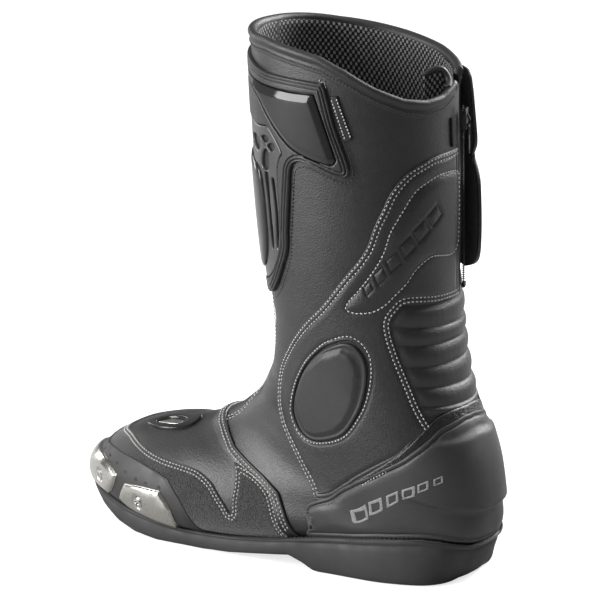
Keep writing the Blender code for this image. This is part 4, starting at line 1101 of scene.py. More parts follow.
# ------------------------------------------------------------------- the toe
vamp = skin("vamp_leather", LEATHER, steps(0, 357.6, 2.4), lambda d: vamp_edge(d) - .04,
            ring_line(20.8), 120, 0.0, -1.2, wrap=True, tip=True,
            border=((0, .1), (.15, .9), (.5, 1.3), (1.0, 1.45), (1.5, 1.45), (2.1, 1.05), (2.7, 1.45),
                    (3.9, 1.45), (4.5, 1.05), (5.1, 1.4), (7, 1.1), (9, .5), (12, .1)),
            relief=lambda s, d: .25 * np.sin(s * 2.3 + d / 19) * np.sin(d / 27))
place(vamp, "foot", "leather", "vamp")
seam_degs = steps(-125, 125, 1.5)
seam = np.stack([vamp_edge(seam_degs) - .04, seam_degs], -1)
sew("vamp_stitching", "foot", [(sideways(seam, -2.2), 1.3), (sideways(seam, -4.5), 1.3)])

SUEDE_HALF = [(17.65, 0), (17.55, 20), (17.2, 33), (16.35, 40), (15.42, 50), (14.85, 53), (14.3, 53.5),
              (13.98, 56), (13.9, 66), (14.0, 79), (14.12, 93), (14.22, 103), (14.1, 99), (13.75, 82),
              (13.45, 68), (13.2, 56), (12.78, 38, 1), (12.55, 50), (12.75, 72), (13.3, 106),
              (13.62, 125), (13.75, 136, 1), (14.6, 134), (15.3, 131, 1), (15.5, 118), (15.4, 100),
              (15.35, 88), (15.45, 76, 1), (15.9, 72), (16.6, 69), (17.3, 67), (18.0, 64),
              (18.5, 54), (18.6, 37), (18.65, 20)]
suede_loop = across_front(SUEDE_HALF + [(18.65, 0)])
suede = panel("suede_toe", SUEDE, suede_loop, profile(1.1, (1.5, .35, .6), (3.7, .35, .6), flat=6),
              base=.15, step=2.4, under=-.6)
place(suede, "foot", "suede", "suede_toe_panel")
upper_edge = curve(SUEDE_HALF[:17], step=1.0)
back_edge = curve(SUEDE_HALF[16:22], step=1.0)
suede_rim = form(suede_loop[:, 0], suede_loop[:, 1])


def inset_rows(edge, mm):
    """Rows of stitches mm inside one edge of the suede, without the parts that come too near another edge."""
    found = []
    for moved in (sideways(edge, mm), sideways(edge, -mm)):
        middle = len(moved) // 2
        if inside(moved[middle:middle + 1], suede_loop)[0]:
            clear = gap_to(form(moved[:, 0], moved[:, 1]), suede_rim) > .88 * mm
            clear &= inside(moved, suede_loop)
            cut = np.flatnonzero(np.diff(clear.astype(int))) + 1
            for part, ok in zip(np.split(moved, cut), np.split(clear, cut)):
                if ok[0] and len(part) > 4:
                    found.append((part, 1.0))
    return found


suede_rows = []
for edge in (upper_edge, upper_edge * (1, -1), back_edge, back_edge * (1, -1)):
    suede_rows += inset_rows(edge, 1.5) + inset_rows(edge, 3.7)
sew("suede_stitching", "foot", suede_rows, slot="suede", pitch=2.6, length=1.95)

BUMPER_DEGS = np.concatenate([steps(-136, -68, 2.0), steps(-66, -56, .8), steps(-54, 54, 2.0),
                              steps(56, 66, .8), steps(68, 136, 2.0), steps(139, 221, 5)])
cap = skin("toe_cap", CAP_RUBBER, BUMPER_DEGS, bumper_edge, ring_line(20.85), 70, 0.0, .1,
           wrap=True, tip=True,
           border=((0, .4), (.12, 1.3), (.4, 1.75), (.9, 2.0), (1.6, 2.0), (2.1, 1.75), (2.6, 2.0)))
place(cap, "foot", "tpu_black", "toe_bumper")
EYELETS = [(17.33, 68), (16.85, 71), (16.47, 75), (16.13, 78), (15.82, 79.5), (15.47, 81), (17.9, 65),
           (18.45, 54), (18.62, 41), (18.7, 29), (18.74, 15), (18.75, 0)]
EYELET_RINGS = ((-.6, .2), (-.6, .7), (.12, .75), (.25, .98), (.12, 1.25), (-.4, 1.25))
eyelets = [disc_shape(form(s, d, 2.0), directions(np.array(s), np.array(d))[0], EYELET_RINGS, 14)
           for s, d in EYELETS + [(s, -d) for s, d in EYELETS[:-1]]]
place(build("toe_cap_eyelets", *joined(eyelets), BUMPER), "foot", "tpu_black")

SCREW_RINGS = ((-.6, 3.3), (.9, 3.3), (1.5, 2.9), (1.7, 2.2), (1.7, 1.75), (.5, 1.6), (.4, .5))
PLATE_ROWS = [(0, -.3), (.1, .9), (.35, 1.6), (.8, 2.0), (1.6, 2.2), (4, 2.5)]


def bowl(s0, deg0, depth, radius):
    """A round recess for the screw's head."""
    at = form(s0, deg0)

    def relief(s, deg):
        far = np.linalg.norm(form(s, deg) - at, axis=-1)
        return -depth * (1 - smooth(radius * .62, radius, far))
    return relief


def recess_ring(s0, deg0, radius):
    """A circle on the form, radius mm about (s0, deg0)."""
    _, ds, dt = directions(np.array(s0), np.array(deg0))
    a = np.linspace(0, 2 * math.pi, 26)
    return np.stack([s0 + radius * np.cos(a) / np.linalg.norm(ds),
                     deg0 + radius * np.sin(a) / np.linalg.norm(dt)], -1)


PLATE_FRONT = [(16.92, 80, 1), (17.5, 71), (18.6, 65), (19.4, 58), (20.0, 42), (20.3, 25, 1),
               (20.42, 60), (20.38, 93, 1), (19.9, 95), (19.3, 96.5), (18.5, 97.5),
               (17.68, 98.5, 1), (17.3, 90)]
PLATE_SIDE = [(16.62, 84, 1), (16.1, 83), (15.5, 84, 1), (15.55, 98), (15.75, 112), (15.9, 119, 1),
              (16.3, 112), (16.9, 104), (17.15, 98, 1), (16.9, 91)]
for label, outline, s0, d0 in (("front", PLATE_FRONT, 17.95, 86), ("side", PLATE_SIDE, 16.4, 97)):
    # the two circles cut nothing: they only add points where the recess needs them
    circles = [(recess_ring(s0, d0, 5.0), .0, .9), (recess_ring(s0, d0, 3.6), .0, .8)]
    plate = panel("slider_" + label, NICKEL, curve(outline, step=.8, closed=True), PLATE_ROWS, base=2.0,
                  step=1.5, edge_step=.8, under=.2, lines=circles, relief=bowl(s0, d0, 1.5, 5.2))
    place(plate, "foot", "nickel", "toe_slider_" + label)
    at = form(s0, d0, 3.0)
    out = directions(np.array(s0), np.array(d0))[0]
    screw = build("slider_screw_" + label + "_head", *disc_shape(at, out, SCREW_RINGS, 24), STEEL, sharp=40)
    place(screw, "foot", "steel", "slider_screw_" + label)

VENT = [(16.05, 22.5), (15.2, 8), (14.3, 5.2), (13.2, 6.5), (13.6, 16), (14.5, 24.5), (15.4, 28)]
VENT_HOLE = [(15.55, 20.5), (15.1, 13.5), (14.5, 11.0), (13.95, 12.0), (14.25, 17.5), (15.0, 21.5)]
vent_hole = (curve(VENT_HOLE, step=.8, closed=True), [(0, -.3), (.15, .5), (.5, 1.2), (1.0, 1.7), (3, 1.8)])
vent = panel("vent_frame", GLOSS, curve(VENT, step=.9, closed=True),
             [(0, -.3), (.15, 1.1), (.5, 1.9), (1.0, 2.3), (2, 2.4), (2.4, 2.0), (3, 1.8)],
             holes=[vent_hole], base=.3, step=1.4, edge_step=.8)
place(vent, "foot", "tpu_black", "vamp_vent_frame")
VENT_INSERT = [(15.5, 20.2), (15.08, 14.6), (14.5, 12.2), (14.08, 12.9), (14.35, 17.2), (15.0, 20.4)]
insert = panel("vent_insert", NICKEL, curve(VENT_INSERT, step=.8, closed=True),
               [(0, 0), (.2, .3), (.6, .5), (2, .6)], base=.3, step=1.2, edge_step=.7)
place(insert, "foot", "nickel", "vamp_vent_insert")

# ------------------------------------------------------------------- the heel
COUNTER_TOP = [(12.52, 101), (12.1, 88), (11.5, 82), (10.55, 83.5), (9.72, 97), (9.1, 112), (8.58, 124),
               (8.02, 137), (7.55, 146), (7.1, 155), (6.86, 160), (6.72, 167), (6.62, 175), (6.62, 180)]
COUNTER_LOW = [(13.25, 132), (13.0, 123), (12.75, 112)]
COUNTER_BASE = [(10.45, 180), (10.44, 172), (10.42, 164), (10.48, 156), (10.66, 150), (11.05, 143.6),
                (11.65, 139.2), (12.35, 136.4)]
counter_loop = curve(COUNTER_TOP + other_side(COUNTER_TOP[:-1]) + other_side(COUNTER_LOW)
                     + other_side(COUNTER_BASE[1:]) + COUNTER_BASE + COUNTER_LOW, closed=True)


def counter_form(s, deg):
    """A flat-sided shell whose back swells into a cap with a step above and below."""
    turn = np.abs((deg + 360) % 360 - 180)
    across = smooth(52, 22, turn)
    cap = 2.3 * across * smooth(6.98, 7.16, s - .008 * turn) * smooth(9.24, 9.12, s)
    under_cap = -1.3 * across * smooth(9.1, 9.24, s)
    hollow = -.5 * np.exp(-((turn - 62) / 14) ** 2)
    return cap + under_cap + hollow


COUNTER_ROWS = [(0, -.3), (.12, .6), (.4, 1.15), (.9, 1.4), (2.3, 1.4), (2.7, .7), (3.3, .6), (3.9, 1.5),
                (4.8, 1.85), (8, 1.9)]
counter = panel("heel_counter_shell", COUNTER, counter_loop, COUNTER_ROWS,
                base=lambda s, d: .95 + .8 * smooth(11.2, 12.3, s), step=1.8,
                relief=counter_form)
place(counter, "foot", "tpu_grey", "heel_counter")
COUNTER_SEAM = curve([(10.75, 90), (10.16, 97.5), (9.68, 105.5), (9.2, 114.5), (8.72, 124.5), (8.3, 133)])
COUNTER_FRONT_SEAM = curve([(12.5, 106), (11.92, 94), (11.0, 88)])
sew("counter_stitching", "foot", [(COUNTER_SEAM, 1.7)], slot="tpu_grey", pitch=2.5, length=1.9, radius=.3)
sew("counter_front_stitching", "foot", [(COUNTER_FRONT_SEAM, 2.15)], mat=THREAD_DARK, slot="tpu_grey",
    pitch=2.5, length=1.9, radius=.3)

MOTIF = (((11.08, 105.0), (10.28, 113.0), (10.93, 120.5), (11.75, 121.5)),
         ((10.12, 115.0), (9.56, 125.0), (10.12, 127.0), (10.80, 119.0)),
         ((9.44, 128.0), (9.00, 136.0), (9.44, 136.0), (9.92, 129.0)),
         ((8.92, 138.0), (8.60, 145.0), (8.96, 145.0), (9.32, 138.0)),
         ((8.56, 146.0), (8.32, 151.0), (8.60, 151.0), (8.84, 146.0)),
         ((8.28, 153.0), (8.12, 157.0), (8.32, 157.0), (8.48, 153.0)))
MOTIF_ROWS = [(0, -.1), (.1, .22), (.3, .3), (2, .3)]
for i, corners in enumerate(MOTIF):
    corners = np.array(corners)
    hole = corners.mean(0) + (corners - corners.mean(0)) * .56
    outline, hole = (curve([(*c, 1) for c in line], step=.5, closed=True) for line in (corners, hole))
    piece = panel(f"counter_motif_{i + 1}", INLAY, outline, MOTIF_ROWS, holes=[(hole, MOTIF_ROWS)],
                  base=lambda s, d: 2.8 + counter_form(s, d), step=1.2, edge_step=.6, under=-.3)
    place(piece, "foot", "satin_grey")

BIND_TOP = [(9.22, 107.5), (8.42, 124.5), (7.8, 137), (7.26, 146.5), (6.84, 154), (6.56, 160.5), (6.42, 170),
            (6.4, 180)]
BIND_LOW = [(6.8, 180), (6.8, 175), (6.88, 168), (7.02, 161), (7.26, 156), (7.72, 147), (8.18, 138),
            (8.74, 125), (9.26, 113), (9.8, 99.5)]
BIND_TIP = (10.0, 92, 1)
binding_loop = curve([BIND_TIP] + BIND_TOP + other_side(BIND_TOP[:-1]) + [(10.0, 268, 1)]
                     + other_side(BIND_LOW[1:]) + BIND_LOW, closed=True)
binding = panel("counter_binding_strip", BINDING, binding_loop,
                [(0, -.3), (.15, .5), (.5, .95), (1.1, 1.2), (2.0, 1.2), (4, 1.15)], base=.6, step=1.5,
                relief=lambda s, d: .1 * np.sin(s * 21 + d * .9) * np.sin(d * 1.7 - s * 8))
place(binding, "foot", "binding", "counter_binding")

BUMP = [(7.2, 180), (7.25, 174.5), (7.6, 173), (8.4, 173), (8.85, 174), (9.02, 180), (8.85, 186), (8.4, 187),
        (7.6, 187), (7.25, 185.5)]
spine = panel("heel_spine_block", BUMPER, curve(BUMP, closed=True),
              [(0, -1.5), (.15, .1), (.5, .4), (1.1, .6), (2.0, .75), (3.2, .8)],
              base=4.3, step=1.5)
place(spine, "foot", "rubber_grip", "heel_bumper")

# -------------------------------------------------------------------- the sole
# the side wall from the rim down: share of its height, mm outward
WALL = ((0.0, -.9), (.015, -.25), (.05, .15), (.10, .2), (.125, -.25), (.15, -.3), (.18, .25), (.3, .75),
        (.5, 1.05), (.7, 1.0), (.85, .7), (.93, .3), (.975, -.3), (.995, -1.1), (1.0, -2.0))


def sole_gap(s):
    """How far the sole's inner side stands off the form below it, in mm."""
    return np.interp(s, (11.0, 12.0, 14.85, 15.1), (.9, .6, .6, 2.6))


def make_sole():
    """The cup sole in rings, from its inner side over the rim and down the wall to the underside."""
    half_line = even(np.array(SOLE_EDGE, float), 1.9)
    back = half_line[1:-1][::-1].copy()
    back[:, 1] = 360 - back[:, 1]
    edge = np.concatenate([half_line, back])
    s, deg = edge.T
    count, half = len(edge), len(half_line) - 1
    line_s = np.arange(10.4, 20.5, .02)
    line_y = form(line_s, 180.0)[:, 1]
    rim_in = form(s, deg, 3.0)
    centre_s = np.interp(-rim_in[:, 1], -line_y, line_s)
    rows = [form(centre_s, 180.0, sole_gap(centre_s))]
    for share, off in ((.7, .5), (.4, .5), (.18, .9), (.08, 1.9), (0.0, 3.0)):
        at = s + (centre_s - s) * share
        lift = np.maximum(off, sole_gap(at))
        rows.append(form(at, deg + (180 - deg) * share, lift))
    heel = smooth(45, 100, rim_in[:, 1])
    rim_out = form(s, deg, 5.4 - 4.4 * heel)
    level = rim_in[:, 2] + .6
    flat = rim_out[:, :2]
    tangent = np.roll(flat, -3, 0) - np.roll(flat, 3, 0)
    normal = np.column_stack([tangent[:, 1], -tangent[:, 0]])
    normal /= np.linalg.norm(normal, axis=1, keepdims=True)
    if normal[count // 4, 0] < 0:
        normal = -normal
    rows.append(np.column_stack([rim_in[:, :2] + (rim_out - rim_in)[:, :2] * .25, level]))
    low = sole_bottom(flat[:, 1])
    thick = level - .2 - low
    tuck = -12.5 * smooth(.3, 1.0, normal[:, 1]) * heel
    for share, grow in WALL[:-1]:
        out_by = grow + tuck * share ** 1.2
        rows.append(np.column_stack([flat + normal * out_by[:, None], level - .2 - thick * share]))
    for inset in (2.0, 3.4, 6, 10, 16, 24):
        at = flat - normal * (inset - tuck[:, None])
        at[:, 0] = np.where(np.sign(flat[:, 0] + 1) * (at[:, 0] + 1) < 0, -1, at[:, 0])
        rows.append(np.column_stack([at, sole_bottom(at[:, 1])]))
    middle = np.column_stack([np.full(count, -1.0), flat[:, 1]])
    middle[:, 1] = np.clip(middle[:, 1], flat[half, 1] + 22, flat[0, 1] - 22)
    rows.append(np.column_stack([middle, sole_bottom(middle[:, 1])]))
    for line in (rows[0], rows[-1]):
        for j in range(1, half):
            line[j] = line[count - j] = (line[j] + line[count - j]) / 2
    points = np.concatenate(rows)
    obj = build("cup_sole", points, grid_faces(len(rows), count, True), SOLE, sharp=42)
    return obj, rim_out, normal, level


sole, sole_rim, sole_normal, sole_level = make_sole()
bm = bmesh.new()
bm.from_mesh(sole.data)
bmesh.ops.remove_doubles(bm, verts=bm.verts, dist=1e-5)
bmesh.ops.dissolve_degenerate(bm, edges=bm.edges, dist=1e-6)
bm.to_mesh(sole.data)
bm.free()
place(sole, "foot", "rubber_sole", "outsole")
welt = np.column_stack([sole_rim[:, :2] - sole_normal * 1.7, sole_level + .1])
welt_out = np.column_stack([sole_normal * 0, np.ones(len(welt))])
keep = (sole_rim[:, 1] > -150) & (sole_rim[:, 1] < 96)
runs = np.split(np.arange(len(welt)), np.flatnonzero(np.diff(keep.astype(int))) + 1)
points, faces = dashes([(welt[r], welt_out[r]) for r in runs if keep[r[0]] and len(r) > 4],
                       3.0, 2.2, .34)
place(build("welt_stitching", points, faces, THREAD_DARK), "foot", "rubber_sole")

# --------------------------------------------------------------- the shin guard
FRAME_OUT = [(.64, 30), (.70, 57), (.61, 80), (.52, 102), (.55, 107.5), (1.2, 113.5), (1.83, 121),
             (2.02, 119.5), (2.06, 114), (2.02, 104), (1.98, 94), (2.0, 86), (2.14, 80), (2.45, 77.5),
             (2.9, 74.5), (3.3, 72), (3.7, 69.5), (4.1, 62), (4.5, 52), (4.8, 41), (4.9, 30), (4.92, 16)]
SHIELD_IN = [(.90, 0), (.90, 30), (.95, 52), (.86, 80), (.74, 101, 1), (1.25, 107.5), (1.78, 114, 1),
             (1.88, 110), (1.88, 96), (1.80, 81), (1.6, 69), (1.4, 60), (1.22, 52), (1.1, 40), (1.08, 20),
             (1.08, 0)]
GRILLE_IN = [(1.62, 0), (1.66, 30), (1.70, 46), (1.66, 55), (1.62, 61), (1.72, 67), (1.86, 72), (1.96, 74),
             (2.06, 71.5), (2.25, 69), (2.5, 68), (2.9, 67.5), (3.3, 66.5), (3.7, 64), (4.1, 56),
             (4.4, 46), (4.6, 34), (4.68, 18), (4.69, 0)]
frame_loop = across_front([(.60, 0)] + FRAME_OUT + [(4.92, 0)])
shield_loop, grille_loop = across_front(SHIELD_IN), across_front(GRILLE_IN)
RIDGES = [(0, -.3), (.15, .9), (.5, 1.7), (1.0, 1.9), (1.45, 1.7), (1.75, .75), (2.1, .75), (2.4, 2.0),
          (3.0, 2.25), (3.5, 2.0), (3.8, .95), (4.15, .95), (4.45, 2.2), (5.0, 2.4), (6, 2.2), (9, 2.1)]
HOLE_ROWS = [(0, .0), (.15, 1.2), (.5, 1.9), (1.0, 2.1), (1.4, 2.0), (2.4, 2.0)]
guard = panel("shin_guard_frame", FRAME_MAT, frame_loop, RIDGES,
              holes=[(shield_loop, HOLE_ROWS), (grille_loop, HOLE_ROWS)], base=.6, step=1.8, edge_step=1.0)
place(guard, "shaft", "tpu_black", "shin_frame")


def shrink(loop, mm):
    """The closed line moved mm inward, without the points that would cross."""
    moved = sideways(loop, mm, closed=True)
    if not inside(moved[:1], loop)[0]:
        moved = sideways(loop, -mm, closed=True)
    rim = form(loop[:, 0], loop[:, 1])
    return moved[gap_to(form(moved[:, 0], moved[:, 1]), rim) > .9 * mm]


SHIELD_ROWS = [(0, .2), (.15, 1.2), (.5, 1.8), (3.4, 3.3), (3.9, 3.45), (5, 3.5)]
shield = panel("shin_shield_plate", GLOSS, shrink(shield_loop, .5), SHIELD_ROWS, base=.65, step=2.0,
               edge_step=.9, sharp=20)
place(shield, "shaft", "shield_gloss", "shin_shield")

backing = panel("shin_guard_backing", BUMPER, grille_loop, [(0, 0), (2, .05)], base=.1, step=3.0,
                edge_step=1.6, under=-.2)
place(backing, "shaft", "tpu_black", "shin_grille", "shin_plate")
# the light openwork inside the frame: one moulding with openings that look through to the backing
OPENINGS = [[(1.80, 58.5), (1.83, 61.5), (1.93, 57.5), (1.88, 52.5)],
            [(1.87, 65), (1.93, 67), (2.02, 63.5), (1.96, 59.5)],
            [(2.04, 57), (2.09, 60.5), (2.32, 59.8), (2.41, 55.5), (2.36, 51.5), (2.16, 53)],
            [(1.93, 40), (1.92, 49), (2.02, 51), (2.15, 46.5), (2.08, 38)],
            [(1.86, 10), (1.88, 28), (2.0, 31), (2.1, 24), (2.08, 10)],
            [(2.48, 54), (2.46, 58.3), (2.8, 57.8), (3.16, 57.3), (3.5, 57.2), (3.82, 55.5), (3.6, 54.2),
             (3.16, 54.6), (2.8, 54.6)],
            [(2.5, 61.5), (2.5, 64.2), (2.76, 64.6), (3.05, 64.8), (3.4, 63.8), (3.76, 60.4),
             (3.44, 61.2), (3.08, 62.4), (2.76, 62.2)]]
opening_rows = [(0, -.3), (.1, .7), (.4, 1.2), (.8, 1.4)]
openings = [(curve(way(points), step=.8, closed=True), opening_rows)
            for points in OPENINGS for way in (list, mirrored)]
webs = panel("shin_grille_webs", SATIN, shrink(grille_loop, .5),
             [(0, -.2), (.12, .7), (.45, 1.2), (.9, 1.4), (1.6, 1.5), (4, 1.5)], base=.5, step=1.5,
             edge_step=.9, holes=openings)
place(webs, "shaft", "satin_grey")
PLATE = [(2.25, 0), (2.28, 18), (2.38, 36), (2.47, 48.5), (2.8, 51.5), (3.2, 51.5), (3.6, 50.5),
         (3.95, 47), (4.25, 40), (4.42, 30), (4.48, 16), (4.49, 0)]
front_plate = panel("shin_front_plate", GLOSS, across_front(PLATE),
                    [(0, 0), (.15, .5), (.6, 1.0), (1.5, 1.4), (4, 1.8)], base=2.0, step=2.0, edge_step=1.0)
place(front_plate, "shaft", "shield_gloss")
GUARD_SEAM_UPPER = curve([(1.2, 115.8), (1.84, 123.2), (2.1, 121), (2.14, 114), (2.09, 104), (2.05, 95),
                          (2.07, 88)])
GUARD_SEAM_LOWER = curve([(2.07, 88), (2.2, 82.3), (2.5, 79.8), (2.95, 76.8), (3.35, 74.3), (3.78, 71.5),
                          (4.2, 63.5), (4.62, 53), (4.92, 42)])
sew("guard_stitching", "shaft", [(GUARD_SEAM_UPPER, 1.3), (GUARD_SEAM_LOWER, .05)],
    mat=THREAD_DARK, pitch=2.5, length=1.8, radius=.3)

# ------------------------------------------------------------------ the collar
# section of the roll: s below the rim, mm off the form
ROLL_SECTION = ((.34, .1), (.29, .5), (.24, .7), (.20, .5), (.17, .65), (.14, 1.2), (.10, 1.75), (.06, 1.7),
                (.025, 1.0), (.005, .0), (.005, -1.3), (.025, -2.6), (.06, -3.6), (.11, -4.1), (.16, -4.2),
                (.22, -4.0), (.27, -3.5), (.33, -3.0))
collar_degs = steps(ZIP_DEG + ZIP_HALF_DEG - 360 + .5, ZIP_DEG - ZIP_HALF_DEG - .5, 1.6)


def loft(name, mat, section, degs, per=4):
    """One smooth section carried along the rim."""
    loop = []
    n = len(section)
    pts = np.array(section, float)
    for i in range(n):
        a, b, c, d = (pts[(i + k) % n] for k in (-1, 0, 1, 2))
        for t in np.arange(per) / per:
            loop.append(spline(a, b, c, d, t))
    loop = np.array(loop)
    base = rim_at(degs)
    points = np.concatenate([form(base + ds, degs, off) for ds, off in loop])
    n, m = len(loop), len(degs)
    faces = [[i * m + j, i * m + j + 1, (i + 1) % n * m + j + 1, (i + 1) % n * m + j]
             for i in range(n) for j in range(m - 1)]
    faces.append([i * m for i in range(n)])
    faces.append([i * m + m - 1 for i in range(n)][::-1])
    return build(name, points, faces, mat)


collar = loft("padded_collar", LEATHER_SOFT, ROLL_SECTION, collar_degs)
place(collar, "shaft", "leather_soft", "collar")
seam_degs = steps(ZIP_DEG + ZIP_HALF_DEG - 360 + 2, ZIP_DEG - ZIP_HALF_DEG - 2, 2)
sew("collar_stitching", "shaft", [(np.stack([rim_at(seam_degs) + .26, seam_degs], -1), .75)], mat=THREAD_DARK,
    slot="leather_soft", pitch=2.3, length=1.6, radius=.3)

# behind the zip the collar's end turns inwards over a gusset of the same lining
GUSSET = ((.50, 187, -1.6), (.42, 190.5, -2.2), (.30, 192, -4.0), (.20, 191.5, -7.0), (.16, 189.5, -10.5),
          (.18, 186.5, -13.5), (.28, 182.5, -16.0))
GUSSET_ROWS = 16
turned_in = curve(np.array(GUSSET)[:, :2], step=1.0)
along = np.linspace(0, 1, len(turned_in))
gusset_off = np.interp(along, np.linspace(0, 1, len(GUSSET)), np.array(GUSSET)[:, 2])
gusset_off = np.convolve(np.pad(gusset_off, 3, mode="edge"), np.ones(7) / 7, "valid")
gusset_edge = form(turned_in[:, 0], turned_in[:, 1], gusset_off)
roll_end = build("collar_end_roll", *tube(gusset_edge, 2.3 - .5 * along, 14), LEATHER_SOFT)
place(roll_end, "shaft", "leather_soft")
drop = np.linspace(0, 1, GUSSET_ROWS)[:, None, None]
face = gusset_edge[None] + drop * (form(1.25, 190.0, -9.0) - form(.25, 190.0, -9.0))
thick = np.gradient(gusset_edge, axis=0)
thick = np.cross(thick / np.linalg.norm(thick, axis=1, keepdims=True), (0, 0, 1.0))
sheet_points = np.concatenate([(face + .5 * thick).reshape(-1, 3), (face - .5 * thick).reshape(-1, 3)])
sheet_faces = sheet_of(GUSSET_ROWS, len(gusset_edge))
GUSSET_MM = 26
sheet_uv = np.stack(np.broadcast_arrays(along[None] * GUSSET_MM, drop[..., 0] * RING_MM), -1).reshape(-1, 2)
gusset = build("collar_gusset", sheet_points, sheet_faces, KNIT, uv=np.vstack([sheet_uv, sheet_uv]))
place(gusset, "shaft", "mesh_lining")

# the lining: spacer mesh down both walls, one run of it over the ankle
lining = skin("mesh_lining", KNIT, steps(0, 357.5, 2.5), shaft_rim(.12), ring_line(20.1), 150,
              -4.25, -5.0, wrap=True, tip=True, uv=True)
place(lining, "ankle", "mesh_lining", "lining_shaft", "lining_foot")

TAB = [(.70, 111.5, 1), (.66, 115.8, 1), (1.38, 123.8, 1), (1.45, 119.3, 1)]
tab_loop = curve(TAB, closed=True, step=.9)
tab = panel("side_tab_strip", BUMPER, tab_loop, [(0, -.2), (.12, .6), (.4, .95), (.8, 1.0), (3, 1.05)],
            base=.3, step=1.3, edge_step=.8)
place(tab, "shaft", "rubber_grip", "side_tab")
sew("side_tab_stitching", "shaft",
    [(curve([(.73, 112.0), (1.42, 120.0)]), 1.3), (curve([(.70, 115.2), (1.36, 123.2)]), 1.3)],
    slot="rubber_grip", pitch=2.1, length=1.5, radius=.36)
sew("guard_bartacks", "shaft",
    [(curve([(.44, 104.0), (.53, 105.2)]), .3), (curve([(.44, 105.6), (.56, 107.0)]), .3),
     (curve([(.44, 107.2), (.58, 108.7)]), .3)], pitch=1.5, length=1.15, radius=.3)

# ----------------------------------------------------------- zip and its flap
HINGE_DEG, FLAP_OPEN_DEG = 232.0, 4.0
HINGE_TOP, HINGE_END = form(1.0, HINGE_DEG, 1.6), form(4.0, HINGE_DEG, 1.6)
HINGE_AXIS = (HINGE_TOP - HINGE_END) / np.linalg.norm(HINGE_TOP - HINGE_END)
# across the flap, from its hinge: deg, mm off the form
FLAP_LINE = ((229.4, 2.4), (224.1, 3.1), (219.2, 3.8), (214.5, 4.7), (209.9, 5.6), (205.5, 6.5),
             (201.2, 7.5), (196.9, 8.6), (192.6, 9.8))
# down the flap: s, share of its width
FLAP_RINGS = ((.45, .46), (.57, .6), (.85, .7), (1.3, .78), (1.62, .82), (1.78, .74), (1.95, .44),
              (2.12, .74), (2.3, .88), (2.8, .95), (3.3, 1.0), (3.45, .97), (3.6, .88), (3.75, .74),
              (3.88, .55), (4.0, .32))


def turn_about(points, origin, axis, degrees):
    """Points turned about an axis through the origin given."""
    a = math.radians(degrees)
    rel = points - origin
    return (origin + rel * math.cos(a) + np.cross(axis, rel) * math.sin(a)
            + np.outer(rel @ axis, axis) * (1 - math.cos(a)))


def flap_sheet(name, mat, low, high, roll, inset=0.0, rows=64, cols=26, relief=None):
    """One layer of the flap, from low to high mm off its line, with edges rolled over roll mm."""
    degs, offs = np.array(FLAP_LINE).T
    walk = np.concatenate([[0], np.cumsum(np.hypot(np.diff(degs), np.diff(offs)))])
    ring_s, share = np.array(FLAP_RINGS).T
    s = ring_s[0] + .012 * inset + (ring_s[-1] - ring_s[0] - .024 * inset) * (
        .5 - .5 * np.cos(np.linspace(0, math.pi, rows)))
    wide = np.interp(s, ring_s, share) * np.interp(s, (.5, 1.7, 2.2, 4.0), (.62, .72, .86, .9))
    wide = np.convolve(np.pad(wide, 1, mode="edge"), (.25, .5, .25), "valid")
    t = .5 - .5 * np.cos(np.linspace(0, math.pi, cols))
    at = .4 * inset / 10 + t[None, :] * (walk[-1] * wide[:, None] - .09 * inset)
    ss = np.broadcast_to(s[:, None], at.shape)
    deg, off = np.interp(at, walk, degs), np.interp(at, walk, offs)
    mid = form(ss, deg, off)
    border = np.zeros(at.shape, bool)
    border[0] = border[-1] = True
    border[:, 0] = border[:, -1] = True
    far = np.min(np.linalg.norm(mid[:, :, None] - mid[border][None, None], axis=-1), axis=-1)
    rise = np.sqrt(np.clip(1 - (1 - np.clip(far / roll, 0, 1)) ** 2, 0, 1))
    lift = low + .08 + (high - low - .08) * rise
    if relief is not None:
        lift = lift + relief(ss, t[None, :] + 0 * ss, far)
    points = np.concatenate([form(ss, deg, off + lift).reshape(-1, 3),
                             form(ss, deg, off + low).reshape(-1, 3)])
    points = turn_about(points, HINGE_END, HINGE_AXIS, FLAP_OPEN_DEG)
    near = np.exp(-(far.ravel() / .9) ** 2)
    return build(name, points, sheet_of(rows, cols), mat, np.concatenate([near, 0 * near]))


def flap_dents(s, t, far):
    """A sewn line near the edge and soft waves inside it."""
    return -.4 * np.exp(-((far - 2.6) / .7) ** 2) + .25 * np.sin(s * 5 + 3 * t) * smooth(2, 8, far)


flap = flap_sheet("flap_leather", LEATHER, .6, 2.6, 1.1, relief=flap_dents)
place(flap, "flap", "leather", "closure_flap")
velvet = flap_sheet("flap_velvet_facing", VELVET, -.25, .55, .5, inset=1.5, rows=50, cols=20)
place(velvet, "flap", "velvet", "flap_velvet")

zip_top, zip_end = form(ZIP_TOP_S, ZIP_DEG, ZIP_LIFT), form(ZIP_END_S, ZIP_DEG, ZIP_LIFT)
DOWN = (zip_end - zip_top) / np.linalg.norm(zip_end - zip_top)
OUT = directions(np.array(2.5), np.array(ZIP_DEG))[0]
OUT = OUT - DOWN * (OUT @ DOWN)
OUT /= np.linalg.norm(OUT)
SIDE = np.cross(DOWN, OUT)
LENGTH = float(np.linalg.norm(zip_end - zip_top))

